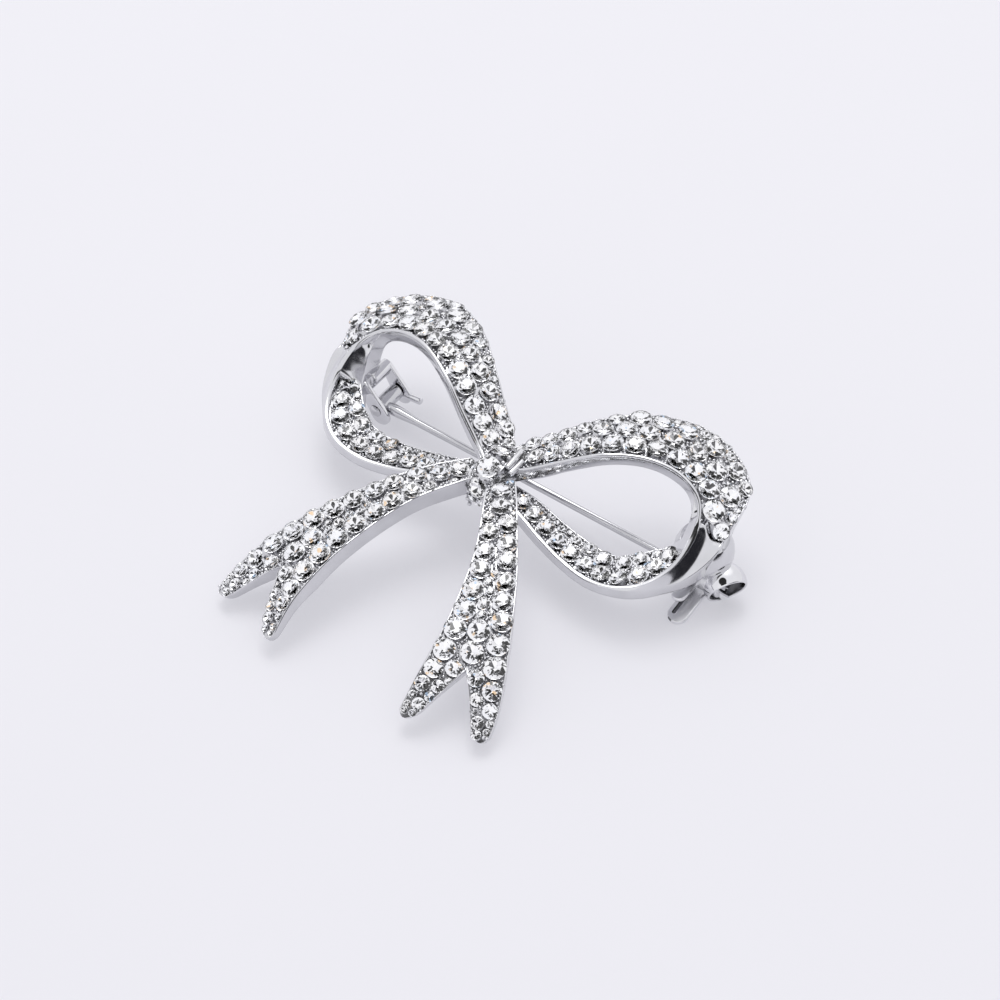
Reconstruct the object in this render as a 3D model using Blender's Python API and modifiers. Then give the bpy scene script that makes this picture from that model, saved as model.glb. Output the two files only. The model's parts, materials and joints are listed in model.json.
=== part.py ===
"""Bow brooch: a cast bow set with round stones, with a hinged pin and a turning safety catch behind it.

The bow faces +Z, with its loops towards +Y and its tails towards -Y, and is symmetric about X = 0.
The origin is the middle of the knot's flat back.
Lengths are in millimetres and are turned into metres where meshes are made.
"""

import math

import bmesh
import bpy
import numpy as np
from mathutils import Matrix, Vector

MM = 0.001
WELD = 0.000001  # merge distance, in metres

# --- ribbon loop: a narrow raised rim with a bed on its outer side, its inner side or both ------------
# Each station: x, y, z of the rim's top, width and tilt in degrees of the outer bed, width of the
# inner bed and its depth below the rim, and the height of the casting's back.
LOOP_STATIONS = (
    (0.6, 0.1, 3.4, 2.4, 0, 0.06, 0.3, 1.8),
    (3.0, 1.6, 4.1, 3.8, 0, 0.06, 0.3, 2.6),
    (5.8, 3.0, 5.6, 4.4, 0, 0.06, 0.3, 4.2),
    (9.2, 4.9, 7.1, 5.1, 2, 0.06, 0.3, 5.6),
    (12.8, 6.7, 7.4, 6.2, 4, 0.06, 0.3, 6.0),
    (16.1, 7.5, 6.9, 7.0, 6, 0.06, 0.3, 5.5),
    (18.8, 7.0, 6.0, 6.2, 10, 0.06, 0.3, 4.3),
    (20.3, 5.4, 4.9, 3.4, 18, 0.3, 1.6, 1.8),
    (20.8, 3.1, 3.5, 2.0, 28, 1.6, 1.5, -0.2),
    (20.4, 0.5, 2.2, 1.0, 38, 3.0, 0.9, -0.6),
    (19.0, -2.0, 1.3, 0.4, 45, 3.9, 0.4, -0.7),
    (16.6, -3.6, 0.7, 0.2, 50, 4.1, 0.3, -0.8),
    (13.6, -3.9, 0.3, 0.2, 50, 3.9, 0.3, -1.1),
    (10.4, -3.4, 0.4, 0.2, 50, 3.5, 0.3, -1.0),
    (7.2, -2.6, 0.9, 0.2, 50, 3.0, 0.3, -0.6),
    (4.0, -1.6, 1.5, 0.2, 50, 2.5, 0.3, -0.1),
    (1.0, -0.8, 1.5, 0.2, 50, 2.0, 0.3, 0.1),
)
LOOP_STEPS = 4  # sections between neighbouring stations
RIM_HALF = 0.35  # half the width of the raised rim
RIM_SLANT = 0.05  # by which the rim widens down to the outer bed
BED_DEPTH = 0.25  # of the outer bed below the rim
BED_PARTS = 3  # facets across a bed
EDGE_CHAMFER = 0.15

# --- tail: inner and outer top edges, running from the knot to the tips -----------------------------
# Each station: x, y, z of the inner edge, then x, y, z of the outer edge.
TAIL_STATIONS = (
    (0.2, -1.0, 3.6, 2.8, 0.0, 3.6),
    (1.7, -3.9, 4.0, 4.9, -2.7, 3.8),
    (3.5, -7.1, 3.9, 7.2, -5.9, 3.6),
    (4.9, -10.2, 3.3, 9.5, -9.2, 2.9),
    (5.9, -13.4, 2.7, 11.4, -12.4, 2.2),
    (6.7, -16.6, 2.0, 13.1, -15.4, 1.2),
    (7.2, -19.8, 1.1, 14.5, -18.2, 0.0),
    (7.5, -22.8, -0.1, 15.6, -20.8, -1.6),
    (7.5, -26.0, -2.5, 16.2, -23.6, -3.1),
)
TAIL_STEPS = 3
TAIL_THICK = ((0.0, 2.3), (0.75, 2.1), (1.0, 1.1))  # against the share of the tail's length
TAIL_LIP = 0.3  # raised edge on each side of the tail
LIP_SLANT = 0.1  # by which the lip widens down to the bed
TAIL_BED = 0.3  # depth of the bed below the lips
NOTCH_APEX = (11.1, -19.4)
NOTCH_INNER = (8.8, -27.4)
NOTCH_OUTER = (15.0, -25.2)
NOTCH_HEIGHTS = (-7.0, 6.0)  # span of the wedge that cuts it

# --- knot -------------------------------------------------------------------------------------------
KNOT_RADIUS = 2.9
KNOT_CENTRE = (0.4, 1.4)  # y and z of the band's axis
KNOT_HALF_WIDTH = 1.3
CHANNEL_DEPTH = 1.6  # cleared above the band for its stones
CHANNEL_FLOOR = 0.04  # left above the band
CHANNEL_INSET = 0.17  # from the band's sides
KNOT_BACK_LOW = (-3.0, -4.0, -5.0)  # corners of what is cut away below the flat back, at height 0
KNOT_BACK_HIGH = (3.0, 5.0, 0.0)
KNOT_STONES = 5
KNOT_STONE_FIRST = 28.0  # degrees from +Y towards +Z of the first stone
KNOT_STONE_STEP = 37.0
KNOT_STONE_SCALE = 0.95

# --- stones -----------------------------------------------------------------------------------------
STONE = 2.1  # diameter of the main stones
STONE_PITCH = 2.16
STONE_HEIGHT = 0.75
LIP_GAP = 0.15  # between a lip and the stones beside it
SEAT_GAP = 0.12  # layer between a bed and its stones
STONE_TABLE = 0.75  # width at the top, as a share of the width below
# Sections of one stone along its row: place in its pitch, girth and height as shares.
STONE_SECTIONS = ((0.04, 0.55, 0.6), (0.28, 1.0, 1.0), (0.72, 1.0, 1.0), (0.96, 0.55, 0.6))
# Rows of one loop: row, bed, offset from the rim, first and last station, and scale at each.
LOOP_ROWS = (
    ("upper_rim", "outer", 1.05, 1.3, 7.5, 0.85, 0.9),
    ("upper_middle", "outer", 3.05, 1.0, 6.6, 0.85, 0.9),
    ("upper_outer", "outer", 5.0, 3.9, 6.0, 0.8, 0.9),
    ("lower_rim", "inner", 1.0, 8.6, 15.2, 0.75, 0.9),
    ("lower_inner", "inner", 2.9, 9.5, 13.6, 0.75, 0.8),
)
# Rows of one tail: row, share of the way from the inner edge to the outer, stations and scales.
TAIL_ROWS = (
    ("tail_inner", 0.0, 2.7, 7.75, 0.85, 0.7),
    ("tail_outer", 1.0, 1.4, 7.75, 0.85, 0.7),
    ("tail_middle", 0.5, 4.4, 5.9, 0.75, 0.85),
)

# --- findings ---------------------------------------------------------------------------------------
PAD_X = 21.0
PAD_Y = 5.6
PAD_RADIUS = 2.5
PAD_BOTTOM = -0.65
PAD_TOP = 1.0
BASE_TOP = -0.7
BASE_BOTTOM = -1.18

HINGE_X = -17.4
HINGE_Y = 5.85
HINGE_Z = -2.15
BRACKET_X = (-23.0, -18.7)  # ends of the base plate
BRACKET_HALF = 2.3  # half its width along y
EAR_GAP = 3.2  # clear width between the two ears
EAR_THICK = 0.5
EAR_ROOT = (-20.4, -1.5)  # x and z of the ear's upper round end
EAR_ROOT_RADIUS = 0.75
EAR_TIP = (-17.0, -2.75)
EAR_TIP_RADIUS = 1.45
FINGER_RADIUS = 0.34
FINGER_X = (-16.2, -14.5)
FINGER_Z = -2.65

RIVET_RADIUS = 0.42
RIVET_HEAD = 0.68
RIVET_HEAD_HEIGHT = 0.28
RIVET_CROWN = 0.7  # radius of the head's flat end, as a share of the head's radius
RIVET_PLAY = 0.04  # between the heads and the ears
RIVET_FIT = 0.03  # round the shank in the ears

KNUCKLE_RADIUS = 0.88
KNUCKLE_WIDTH = 2.9
RUNNING_FIT = 0.05
STEM_RADIUS = 0.38
STEM_Y = 5.0
STEM_END = (24.3, 5.0, -2.65)
# Girth of the stem against the share of its length.
STEM_GIRTHS = ((0.0, 1.6), (0.05, 1.6), (0.11, 1.0), (0.88, 1.0), (0.96, 0.6), (1.0, 0.12))

CATCH_X0 = 22.7
CATCH_X1 = 25.2
CATCH_Y = 5.05
CATCH_Z = -2.65
CATCH_BASE_RADIUS = 2.3
SLEEVE_X0 = 20.0
SLEEVE_X1 = 25.3
SLEEVE_BORE = 0.8
SLEEVE_RADIUS = 1.32
SLOT_WIDTH = 1.1
SHELL_WALL = 0.42
MOUTH_SIDE = 0.7  # the shell's mouth reaches this far past the axis towards +Y
MOUTH_TOP = 0.3  # and this far short of it in height
OVERRUN = 1.0  # of a cutter past what it cuts
TAB_THICK = 0.45
TAB_ROOT_Y = 4.4
# Finger tabs: x of both sides, y and z of the tip, z of the root.
TABS = (("lower", 20.5, 22.4, -0.4, -4.15, -3.4), ("upper", 20.1, 21.5, 0.9, -2.4, -2.6))


# ------------------------------------------------------------------------------------- basic tools --

def clear_scene():
    """Remove what the file starts with."""
    for obj in list(bpy.data.objects):
        bpy.data.objects.remove(obj, do_unlink=True)


def new_collection(name):
    """Return a collection linked to the scene."""
    collection = bpy.data.collections.new(name)
    bpy.context.scene.collection.children.link(collection)
    return collection


def principled(name, colour, metallic, roughness, transmission=0.0, ior=1.5):
    """Return a Principled BSDF material."""
    material = bpy.data.materials.new(name)
    material.use_nodes = True
    shader = material.node_tree.nodes["Principled BSDF"]
    shader.inputs["Base Color"].default_value = (*colour, 1.0)
    shader.inputs["Metallic"].default_value = metallic
    shader.inputs["Roughness"].default_value = roughness
    shader.inputs["Transmission Weight"].default_value = transmission
    shader.inputs["IOR"].default_value = ior
    return material


def add_mesh_object(name, bm, collection, material=None):
    """Turn a bmesh in millimetres into an object in metres, with its faces pointing out."""
    bmesh.ops.recalc_face_normals(bm, faces=bm.faces)
    bmesh.ops.scale(bm, vec=(MM, MM, MM), verts=bm.verts)
    mesh = bpy.data.meshes.new(name)
    bm.to_mesh(mesh)
    bm.free()
    obj = bpy.data.objects.new(name, mesh)
    collection.objects.link(obj)
    if material:
        mesh.materials.append(material)
    return obj


def loft(rings):
    """Return a closed bmesh skinned over rings of points, which have the same count, with flat ends."""
    bm = bmesh.new()
    loops = [[bm.verts.new(point) for point in ring] for ring in rings]
    count = len(loops[0])
    for near, far in zip(loops, loops[1:]):
        for i in range(count):
            j = (i + 1) % count
            bm.faces.new((near[i], near[j], far[j], far[i]))
    bm.faces.new(loops[0])
    bm.faces.new(loops[-1])
    return bm


def spline(stations, steps):
    """Return the rows of a Catmull-Rom curve through the stations, steps rows to each span."""
    rows = np.array(stations, float)
    knots = np.vstack((2 * rows[0] - rows[1], rows, 2 * rows[-1] - rows[-2]))
    curve = []
    for a, b, c, d in zip(knots, knots[1:], knots[2:], knots[3:]):
        for t in np.arange(steps) / steps:
            curve.append(b + 0.5 * t * (c - a + t * (2 * a - 5 * b + 4 * c - d + t * (3 * (b - c) + d - a))))
    curve.append(rows[-1])
    return np.array(curve)


def unit(vectors):
    """Return the rows scaled to length one."""
    return vectors / np.linalg.norm(vectors, axis=1)[:, None]


def mesh_from_curve(curve_obj, collection):
    """Replace a curve object by its mesh, with the caps welded on."""
    evaluated = curve_obj.evaluated_get(bpy.context.evaluated_depsgraph_get())
    mesh = bpy.data.meshes.new_from_object(evaluated)
    bm = bmesh.new()
    bm.from_mesh(mesh)
    bmesh.ops.remove_doubles(bm, verts=bm.verts, dist=WELD)
    bm.to_mesh(mesh)
    bm.free()
    obj = bpy.data.objects.new(curve_obj.name + "_mesh", mesh)
    obj.matrix_world = curve_obj.matrix_world.copy()
    collection.objects.link(obj)
    name = curve_obj.name
    bpy.data.objects.remove(curve_obj, do_unlink=True)
    obj.name = name
    return obj


def cylinder(name, radius, start, end, collection, segments=32):
    """Add a closed cylinder from start to end."""
    start, end = Vector(start), Vector(end)
    bm = bmesh.new()
    bmesh.ops.create_cone(bm, cap_ends=True, segments=segments, radius1=radius, radius2=radius,
                          depth=(end - start).length)
    turn = Vector((0, 0, 1)).rotation_difference(end - start).to_matrix().to_4x4()
    bmesh.ops.transform(bm, matrix=Matrix.Translation((start + end) / 2) @ turn, verts=bm.verts)
    return add_mesh_object(name, bm, collection)


def box(name, low, high, collection):
    """Add a box between two corners."""
    low, high = Vector(low), Vector(high)
    bm = bmesh.new()
    bmesh.ops.create_cube(bm, size=1.0)
    bmesh.ops.scale(bm, vec=high - low, verts=bm.verts)
    bmesh.ops.translate(bm, vec=(low + high) / 2, verts=bm.verts)
    return add_mesh_object(name, bm, collection)


def boolean(target, others, operation, cutters):
    """Join others to target, or cut them from it, in order."""
    for other in others:
        modifier = target.modifiers.new(operation.title() + " " + other.name, "BOOLEAN")
        modifier.operation = operation
        modifier.object = other
        for collection in list(other.users_collection):
            collection.objects.unlink(other)
        cutters.objects.link(other)
        other.hide_render = True
        other.display_type = "WIRE"


# --------------------------------------------------------------------------------------- casting --

def loop_frames(side):
    """Return one dict a section: rim point, directions, and the sizes from the stations."""
    rows = spline(LOOP_STATIONS, LOOP_STEPS)
    rim = rows[:, :3]
    along = unit(np.gradient(rim, axis=0))
    outward = unit(np.column_stack((-along[:, 1], along[:, 0], np.zeros(len(along)))))
    up = np.cross(along, outward)
    tilt = np.radians(rows[:, 4])[:, None]
    slope = outward * np.cos(tilt) - up * np.sin(tilt)
    face = up * np.cos(tilt) + outward * np.sin(tilt)
    mirror = np.array((side, 1, 1))
    names = ("rim", "outward", "up", "slope", "face", "outer", "inner", "drop", "back")
    columns = (rim * mirror, outward * mirror, up * mirror, slope * mirror, face * mirror,
               rows[:, 3], rows[:, 5], rows[:, 6], rows[:, 7])
    return [dict(zip(names, section)) for section in zip(*columns)]


def outer_bed(section, offset):
    """Return a point on the outer bed, offset from the rim's side."""
    edge = section["rim"] + section["outward"] * RIM_HALF
    return edge + section["slope"] * offset - section["face"] * BED_DEPTH


def inner_bed(section, offset):
    """Return a point on the inner bed, offset from the rim's side."""
    return section["rim"] - section["outward"] * (RIM_HALF + offset) - section["up"] * section["drop"]


def down_to_back(section, point):
    """Return the point below on the casting's back."""
    return point - section["up"] * (point[2] - section["back"]) / section["up"][2]


def loop_ring(section):
    """Return the outline of one section: rim, outer bed, back, inner bed."""
    rim = [section["rim"] + section["outward"] * x for x in (-RIM_HALF, RIM_HALF)]
    outer = [outer_bed(section, a) for a in np.linspace(RIM_SLANT, section["outer"], BED_PARTS + 1)]
    inner = [inner_bed(section, a) for a in np.linspace(section["inner"], 0, BED_PARTS + 1)]
    back = [down_to_back(section, point) for point in (outer[-1], inner[0])]
    return rim + outer + back + inner


def add_loop(side, collection):
    """Add one ribbon loop."""
    rings = [loop_ring(section) for section in loop_frames(side)]
    return add_mesh_object(f"loop_{side:+d}", loft(rings), collection)


def tail_frames(side):
    """Return the inner edge's points, the directions across and out of the tail, and its widths."""
    rows = spline(TAIL_STATIONS, TAIL_STEPS)
    inner, outer = rows[:, :3], rows[:, 3:]
    across = unit(outer - inner)
    along = unit(np.gradient((inner + outer) / 2, axis=0))
    out = unit(np.cross(along, across))
    mirror = np.array((side, 1, 1))
    return inner * mirror, across * mirror, out * mirror, np.linalg.norm(outer - inner, axis=1)


def tail_section(width, thick):
    """Return the tail's outline as (across, out) pairs, with lips on both sides of its bed."""
    left = [(EDGE_CHAMFER, -thick), (0, EDGE_CHAMFER - thick), (0, -EDGE_CHAMFER),
            (EDGE_CHAMFER, 0), (TAIL_LIP, 0), (TAIL_LIP + LIP_SLANT, -TAIL_BED)]
    middle = [(width / 2, -TAIL_BED)]
    return left + middle + [(width - a, b) for a, b in reversed(left)]


def add_tail(side, collection):
    """Add one tail, before its notch is cut."""
    frames = list(zip(*tail_frames(side)))
    rings = []
    thicks = np.interp(np.linspace(0, 1, len(frames)), *zip(*TAIL_THICK))
    for thick, (inner, across, out, width) in zip(thicks, frames):
        rings.append([inner + across * a + out * b for a, b in tail_section(width, thick)])
    return add_mesh_object(f"tail_{side:+d}", loft(rings), collection)


def add_notch_cutter(side, collection):
    """Add the wedge that forks a tail."""
    outline = (NOTCH_APEX, NOTCH_INNER, NOTCH_OUTER)
    rings = [[(x * side, y, z) for x, y in outline] for z in NOTCH_HEIGHTS]
    return add_mesh_object(f"notch_{side:+d}", loft(rings), collection)


def knot_band(name, radius, half_width, collection):
    """Add a solid disc round the knot's axis."""
    y, z = KNOT_CENTRE
    return cylinder(name, radius, (-half_width, y, z), (half_width, y, z), collection, 40)


def add_casting(parts, cutters, material):
    """Add the one-piece casting: two loops, two forked tails, the knot and two pads for the findings."""
    casting = add_loop(1, parts)
    casting.name = "bow_casting"
    joined = [add_loop(-1, cutters)]
    for side in (1, -1):
        joined.append(add_tail(side, cutters))
        joined.append(cylinder(f"pad_{side:+d}", PAD_RADIUS, (PAD_X * side, PAD_Y, PAD_BOTTOM),
                               (PAD_X * side, PAD_Y, PAD_TOP), cutters))
    joined.append(knot_band("knot_band", KNOT_RADIUS, KNOT_HALF_WIDTH, cutters))
    boolean(casting, joined, "UNION", cutters)
    channel = knot_band("knot_channel", KNOT_RADIUS + CHANNEL_DEPTH, KNOT_HALF_WIDTH - CHANNEL_INSET, cutters)
    core = knot_band("knot_core", KNOT_RADIUS + CHANNEL_FLOOR, KNOT_HALF_WIDTH, cutters)
    boolean(channel, [core], "DIFFERENCE", cutters)
    boolean(casting, [channel], "DIFFERENCE", cutters)
    back = box("back_cutter", KNOT_BACK_LOW, KNOT_BACK_HIGH, cutters)
    boolean(casting, [back] + [add_notch_cutter(side, cutters) for side in (1, -1)], "DIFFERENCE", cutters)
    casting.data.materials.append(material)
    return casting


# ---------------------------------------------------------------------------------------- stones --

def add_stone_row(name, path, collection, material):
    """Add a row of touching stones over a path of (centre, across, out, scale) rows."""
    centre, across, out, scale = (np.array(part) for part in zip(*path))
    steps = np.linalg.norm(np.diff(centre, axis=0), axis=1)
    counted = np.concatenate(((0,), np.cumsum(steps / (STONE_PITCH * (scale[1:] + scale[:-1]) / 2))))
    stones = max(1, round(counted[-1]))
    counted *= stones / counted[-1]

    def at(values, place):
        return np.array([np.interp(place, counted, column) for column in np.atleast_2d(values.T)])

    rings = []
    for stone in range(stones):
        for place, girth, height in STONE_SECTIONS:
            middle, sideways, up = (at(values, stone + place) for values in (centre, across, out))
            size = at(scale, stone + place)[0]
            half = sideways * STONE / 2 * size * girth
            low = middle + up * SEAT_GAP
            top = low + up * STONE_HEIGHT * size * height
            rings.append([low - half, low + half, top + half * STONE_TABLE, top - half * STONE_TABLE])
    return add_mesh_object(name, loft(rings), collection, material)


def loop_row_path(side, bed, offset, first, last, *scales):
    """Return a row's path on the loop's outer or inner bed, offset from the rim's side."""
    sections = loop_frames(side)
    span = range(round(first * LOOP_STEPS), round(last * LOOP_STEPS) + 1)
    path = []
    for i, size in zip(span, np.linspace(*scales, len(span))):
        section = sections[i]
        if bed == "outer":
            path.append((outer_bed(section, offset), section["slope"], section["face"], size))
        else:
            path.append((inner_bed(section, offset), -section["outward"], section["up"], size))
    return path


def tail_row_path(side, share, first, last, *scales):
    """Return a row's path on the tail: share 0 hugs its inner edge and 1 its outer edge."""
    inner, across, out, width = tail_frames(side)
    span = range(round(first * TAIL_STEPS), round(last * TAIL_STEPS) + 1)
    sizes = np.linspace(*scales, len(span))
    path = []
    for i, size in zip(span, sizes):
        reach = TAIL_LIP + LIP_GAP + STONE * size / 2
        offset = reach + (width[i] - 2 * reach) * share
        path.append((inner[i] + across[i] * offset - out[i] * TAIL_BED, across[i], out[i], size))
    return path


def add_side_stones(side, label, collection, material):
    """Add the rows of one loop and one tail."""
    for row, *place in LOOP_ROWS:
        add_stone_row(f"stones_{row}_{label}", loop_row_path(side, *place), collection, material)
    for row, *place in TAIL_ROWS:
        add_stone_row(f"stones_{row}_{label}", tail_row_path(side, *place), collection, material)


def add_knot_stones(collection, material):
    """Add the column of stones that wraps over the knot."""
    y, z = KNOT_CENTRE
    path = []
    turns = KNOT_STONE_FIRST + np.arange(0, KNOT_STONES * KNOT_STONE_STEP, KNOT_STONE_STEP / 4)
    for turn in np.radians(turns):
        out = np.array((0.0, math.cos(turn), math.sin(turn)))
        centre = np.array((0.0, y, z)) + out * KNOT_RADIUS
        path.append((centre, np.array((1.0, 0.0, 0.0)), out, KNOT_STONE_SCALE))
    add_stone_row("stones_knot", path, collection, material)


# -------------------------------------------------------------------------------------- findings --

def capsule_outline(start, end, start_radius, end_radius, steps=9):
    """Return the outline round two circles of unlike radius, as (x, z) points."""
    start, end = np.array(start), np.array(end)
    reach = np.linalg.norm(end - start)
    heading = math.atan2(*(end - start)[::-1])
    spread = math.acos((start_radius - end_radius) / reach)
    ends = ((start, start_radius, spread, 2 * math.pi - spread), (end, end_radius, -spread, spread))
    points = []
    for centre, radius, first, last in ends:
        for turn in np.linspace(first, last, steps) + heading:
            points.append(centre + radius * np.array((math.cos(turn), math.sin(turn))))
    return points


def upright_plate(name, outline, y_low, y_high, collection):
    """Add a flat plate from an (x, z) outline, standing between two heights of y."""
    curve = bpy.data.curves.new(name, "CURVE")
    curve.dimensions = "2D"
    curve.fill_mode = "BOTH"
    curve.extrude = (y_high - y_low) / 2 * MM
    line = curve.splines.new("POLY")
    line.points.add(len(outline) - 1)
    for point, (x, z) in zip(line.points, outline):
        point.co = (x * MM, z * MM, 0, 1)
    line.use_cyclic_u = True
    obj = bpy.data.objects.new(name, curve)
    obj.location = (0, (y_low + y_high) / 2 * MM, 0)
    obj.rotation_euler = (math.pi / 2, 0, 0)
    collection.objects.link(obj)
    bpy.context.view_layer.update()
    return mesh_from_curve(obj, collection)


def add_hinge_bracket(parts, cutters, material):
    """Add the hinge's base plate with its two ears and the stop finger beside the pin."""
    low = (BRACKET_X[0], HINGE_Y - BRACKET_HALF, BASE_BOTTOM)
    high = (BRACKET_X[1], HINGE_Y + BRACKET_HALF, BASE_TOP)
    bracket = box("hinge_bracket", low, high, parts)
    outline = capsule_outline(EAR_ROOT, EAR_TIP, EAR_ROOT_RADIUS, EAR_TIP_RADIUS)
    ear_middle = (EAR_GAP + EAR_THICK) / 2
    joined = []
    for label, offset in (("front", -ear_middle), ("back", ear_middle)):
        y = HINGE_Y + offset
        joined.append(upright_plate(f"ear_{label}", outline, y - EAR_THICK / 2, y + EAR_THICK / 2, cutters))
    finger_y = HINGE_Y + ear_middle
    joined.append(cylinder("stop_finger", FINGER_RADIUS, (FINGER_X[0], finger_y, FINGER_Z),
                           (FINGER_X[1], finger_y, FINGER_Z), cutters, 16))
    boolean(bracket, joined, "UNION", cutters)
    reach = EAR_GAP / 2 + EAR_THICK + OVERRUN
    bore = hinge_cylinder("rivet_bore", RIVET_RADIUS + RIVET_FIT, reach, cutters, 24)
    boolean(bracket, [bore], "DIFFERENCE", cutters)
    bracket.data.materials.append(material)
    return bracket


def hinge_cylinder(name, radius, reach, collection, segments=32):
    """Add a cylinder on the hinge's axis, reaching both ways from the middle of the hinge."""
    hinge = Vector((HINGE_X, HINGE_Y, HINGE_Z))
    half = Vector((0, reach, 0))
    return cylinder(name, radius, hinge - half, hinge + half, collection, segments)


def add_hinge_rivet(parts, material):
    """Add the rivet through both ears, turned from its profile: a shank with a low head at each end."""
    shank = EAR_GAP / 2 + EAR_THICK + RIVET_PLAY
    edge = shank + RIVET_HEAD_HEIGHT / 2
    end = shank + RIVET_HEAD_HEIGHT
    upper = ((0, end), (RIVET_HEAD * RIVET_CROWN, end), (RIVET_HEAD, edge), (RIVET_HEAD, shank),
             (RIVET_RADIUS, shank))
    profile = upper + tuple((radius, -height) for radius, height in reversed(upper))
    mesh = bpy.data.meshes.new("hinge_rivet")
    points = [(x * MM, 0, z * MM) for x, z in profile]
    mesh.from_pydata(points, [(i, i + 1) for i in range(len(points) - 1)], [])
    mesh.materials.append(material)
    rivet = bpy.data.objects.new("hinge_rivet", mesh)
    rivet.location = (HINGE_X * MM, HINGE_Y * MM, HINGE_Z * MM)
    rivet.rotation_euler = (math.pi / 2, 0, 0)
    parts.objects.link(rivet)
    screw = rivet.modifiers.new("Turned", "SCREW")
    screw.axis = "Z"
    screw.steps = 20
    screw.render_steps = 20
    screw.use_merge_vertices = True
    screw.merge_threshold = WELD
    return rivet


def add_pin_stem(parts, cutters, material):
    """Add the pin: a knuckle on the rivet and a round stem that thins to a point."""
    hinge = Vector((HINGE_X, HINGE_Y, HINGE_Z))
    root = Vector((HINGE_X, STEM_Y, HINGE_Z))
    tip = Vector(STEM_END)
    curve = bpy.data.curves.new("pin_stem", "CURVE")
    curve.dimensions = "3D"
    curve.bevel_depth = STEM_RADIUS * MM
    curve.bevel_resolution = 3
    curve.use_fill_caps = True
    line = curve.splines.new("POLY")
    line.points.add(len(STEM_GIRTHS) - 1)
    for point, (share, girth) in zip(line.points, STEM_GIRTHS):
        point.co = (*((root.lerp(tip, share) - hinge) * MM), 1)
        point.radius = girth
    stem_curve = bpy.data.objects.new("pin_stem", curve)
    stem_curve.location = hinge * MM
    cutters.objects.link(stem_curve)
    bpy.context.view_layer.update()
    stem = mesh_from_curve(stem_curve, parts)
    knuckle = hinge_cylinder("knuckle", KNUCKLE_RADIUS, KNUCKLE_WIDTH / 2, cutters)
    boolean(stem, [knuckle], "UNION", cutters)
    reach = KNUCKLE_WIDTH / 2 + OVERRUN
    bore = hinge_cylinder("knuckle_bore", RIVET_RADIUS + RUNNING_FIT, reach, cutters, 24)
    boolean(stem, [bore], "DIFFERENCE", cutters)
    stem.data.materials.append(material)
    return stem


def catch_cylinder(name, radius, x_low, x_high, collection, segments=32):
    """Add a cylinder on the catch's axis."""
    return cylinder(name, radius, (x_low, CATCH_Y, CATCH_Z), (x_high, CATCH_Y, CATCH_Z), collection, segments)


def add_catch_housing(parts, cutters, material):
    """Add the catch's base disc and its C-shaped shell, open towards the back and the tails."""
    housing = cylinder("catch_housing", CATCH_BASE_RADIUS, (PAD_X, PAD_Y, BASE_BOTTOM),
                       (PAD_X, PAD_Y, BASE_TOP), parts)
    inner = SLEEVE_RADIUS + RUNNING_FIT
    shell = catch_cylinder("shell", inner + SHELL_WALL, CATCH_X0, CATCH_X1, cutters)
    boolean(housing, [shell], "UNION", cutters)
    x_low, x_high = CATCH_X0 - OVERRUN, CATCH_X1 + OVERRUN
    bore = catch_cylinder("shell_bore", inner, x_low, x_high, cutters, 40)
    reach = inner + SHELL_WALL + OVERRUN
    mouth = box("shell_mouth", (x_low, CATCH_Y - reach, CATCH_Z - reach),
                (x_high, CATCH_Y + MOUTH_SIDE, CATCH_Z - MOUTH_TOP), cutters)
    boolean(housing, [bore, mouth], "DIFFERENCE", cutters)
    housing.data.materials.append(material)
    return housing


def tab_ring(x_low, x_high, y, z):
    """Return a tab's rectangular section."""
    low, high = z - TAB_THICK / 2, z + TAB_THICK / 2
    return [(x_low, y, low), (x_high, y, low), (x_high, y, high), (x_low, y, high)]


def add_catch_sleeve(parts, cutters, material):
    """Add the turning sleeve: a slotted tube with two finger tabs towards the tails."""
    sleeve = cylinder("catch_sleeve", SLEEVE_RADIUS, (0, 0, 0), (SLEEVE_X1 - SLEEVE_X0, 0, 0), parts, 40)
    sleeve.location = Vector((SLEEVE_X0, CATCH_Y, CATCH_Z)) * MM
    tabs = []
    for label, x_low, x_high, y_tip, z_tip, z_root in TABS:
        rings = [tab_ring(x_low, x_high, y_tip, z_tip), tab_ring(x_low, x_high, TAB_ROOT_Y, z_root)]
        tabs.append(add_mesh_object(f"tab_{label}", loft(rings), cutters))
    boolean(sleeve, tabs, "UNION", cutters)
    x_low, x_high = SLEEVE_X0 - OVERRUN, SLEEVE_X1 + OVERRUN
    bore = catch_cylinder("sleeve_bore", SLEEVE_BORE, x_low, x_high, cutters)
    slot = box("sleeve_slot", (x_low, CATCH_Y - SLOT_WIDTH / 2, CATCH_Z - SLEEVE_RADIUS - OVERRUN),
               (x_high, CATCH_Y + SLOT_WIDTH / 2, CATCH_Z), cutters)
    boolean(sleeve, [bore, slot], "DIFFERENCE", cutters)
    sleeve.data.materials.append(material)
    return sleeve


def main():
    clear_scene()
    parts = new_collection("bow_brooch")
    cutters = new_collection("cutters")
    plating = principled("rhodium_plating", (0.80, 0.80, 0.82), 1.0, 0.12)
    wire = principled("polished_wire", (0.74, 0.74, 0.76), 1.0, 0.18)
    crystal = principled("clear_crystal", (0.97, 0.97, 0.98), 0.0, 0.02, transmission=0.9, ior=1.55)
    add_casting(parts, cutters, plating)
    for side, label in ((1, "right"), (-1, "left")):
        add_side_stones(side, label, parts, crystal)
    add_knot_stones(parts, crystal)
    add_hinge_bracket(parts, cutters, plating)
    add_hinge_rivet(parts, wire)
    add_pin_stem(parts, cutters, wire)
    add_catch_housing(parts, cutters, plating)
    add_catch_sleeve(parts, cutters, plating)


main()
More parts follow.
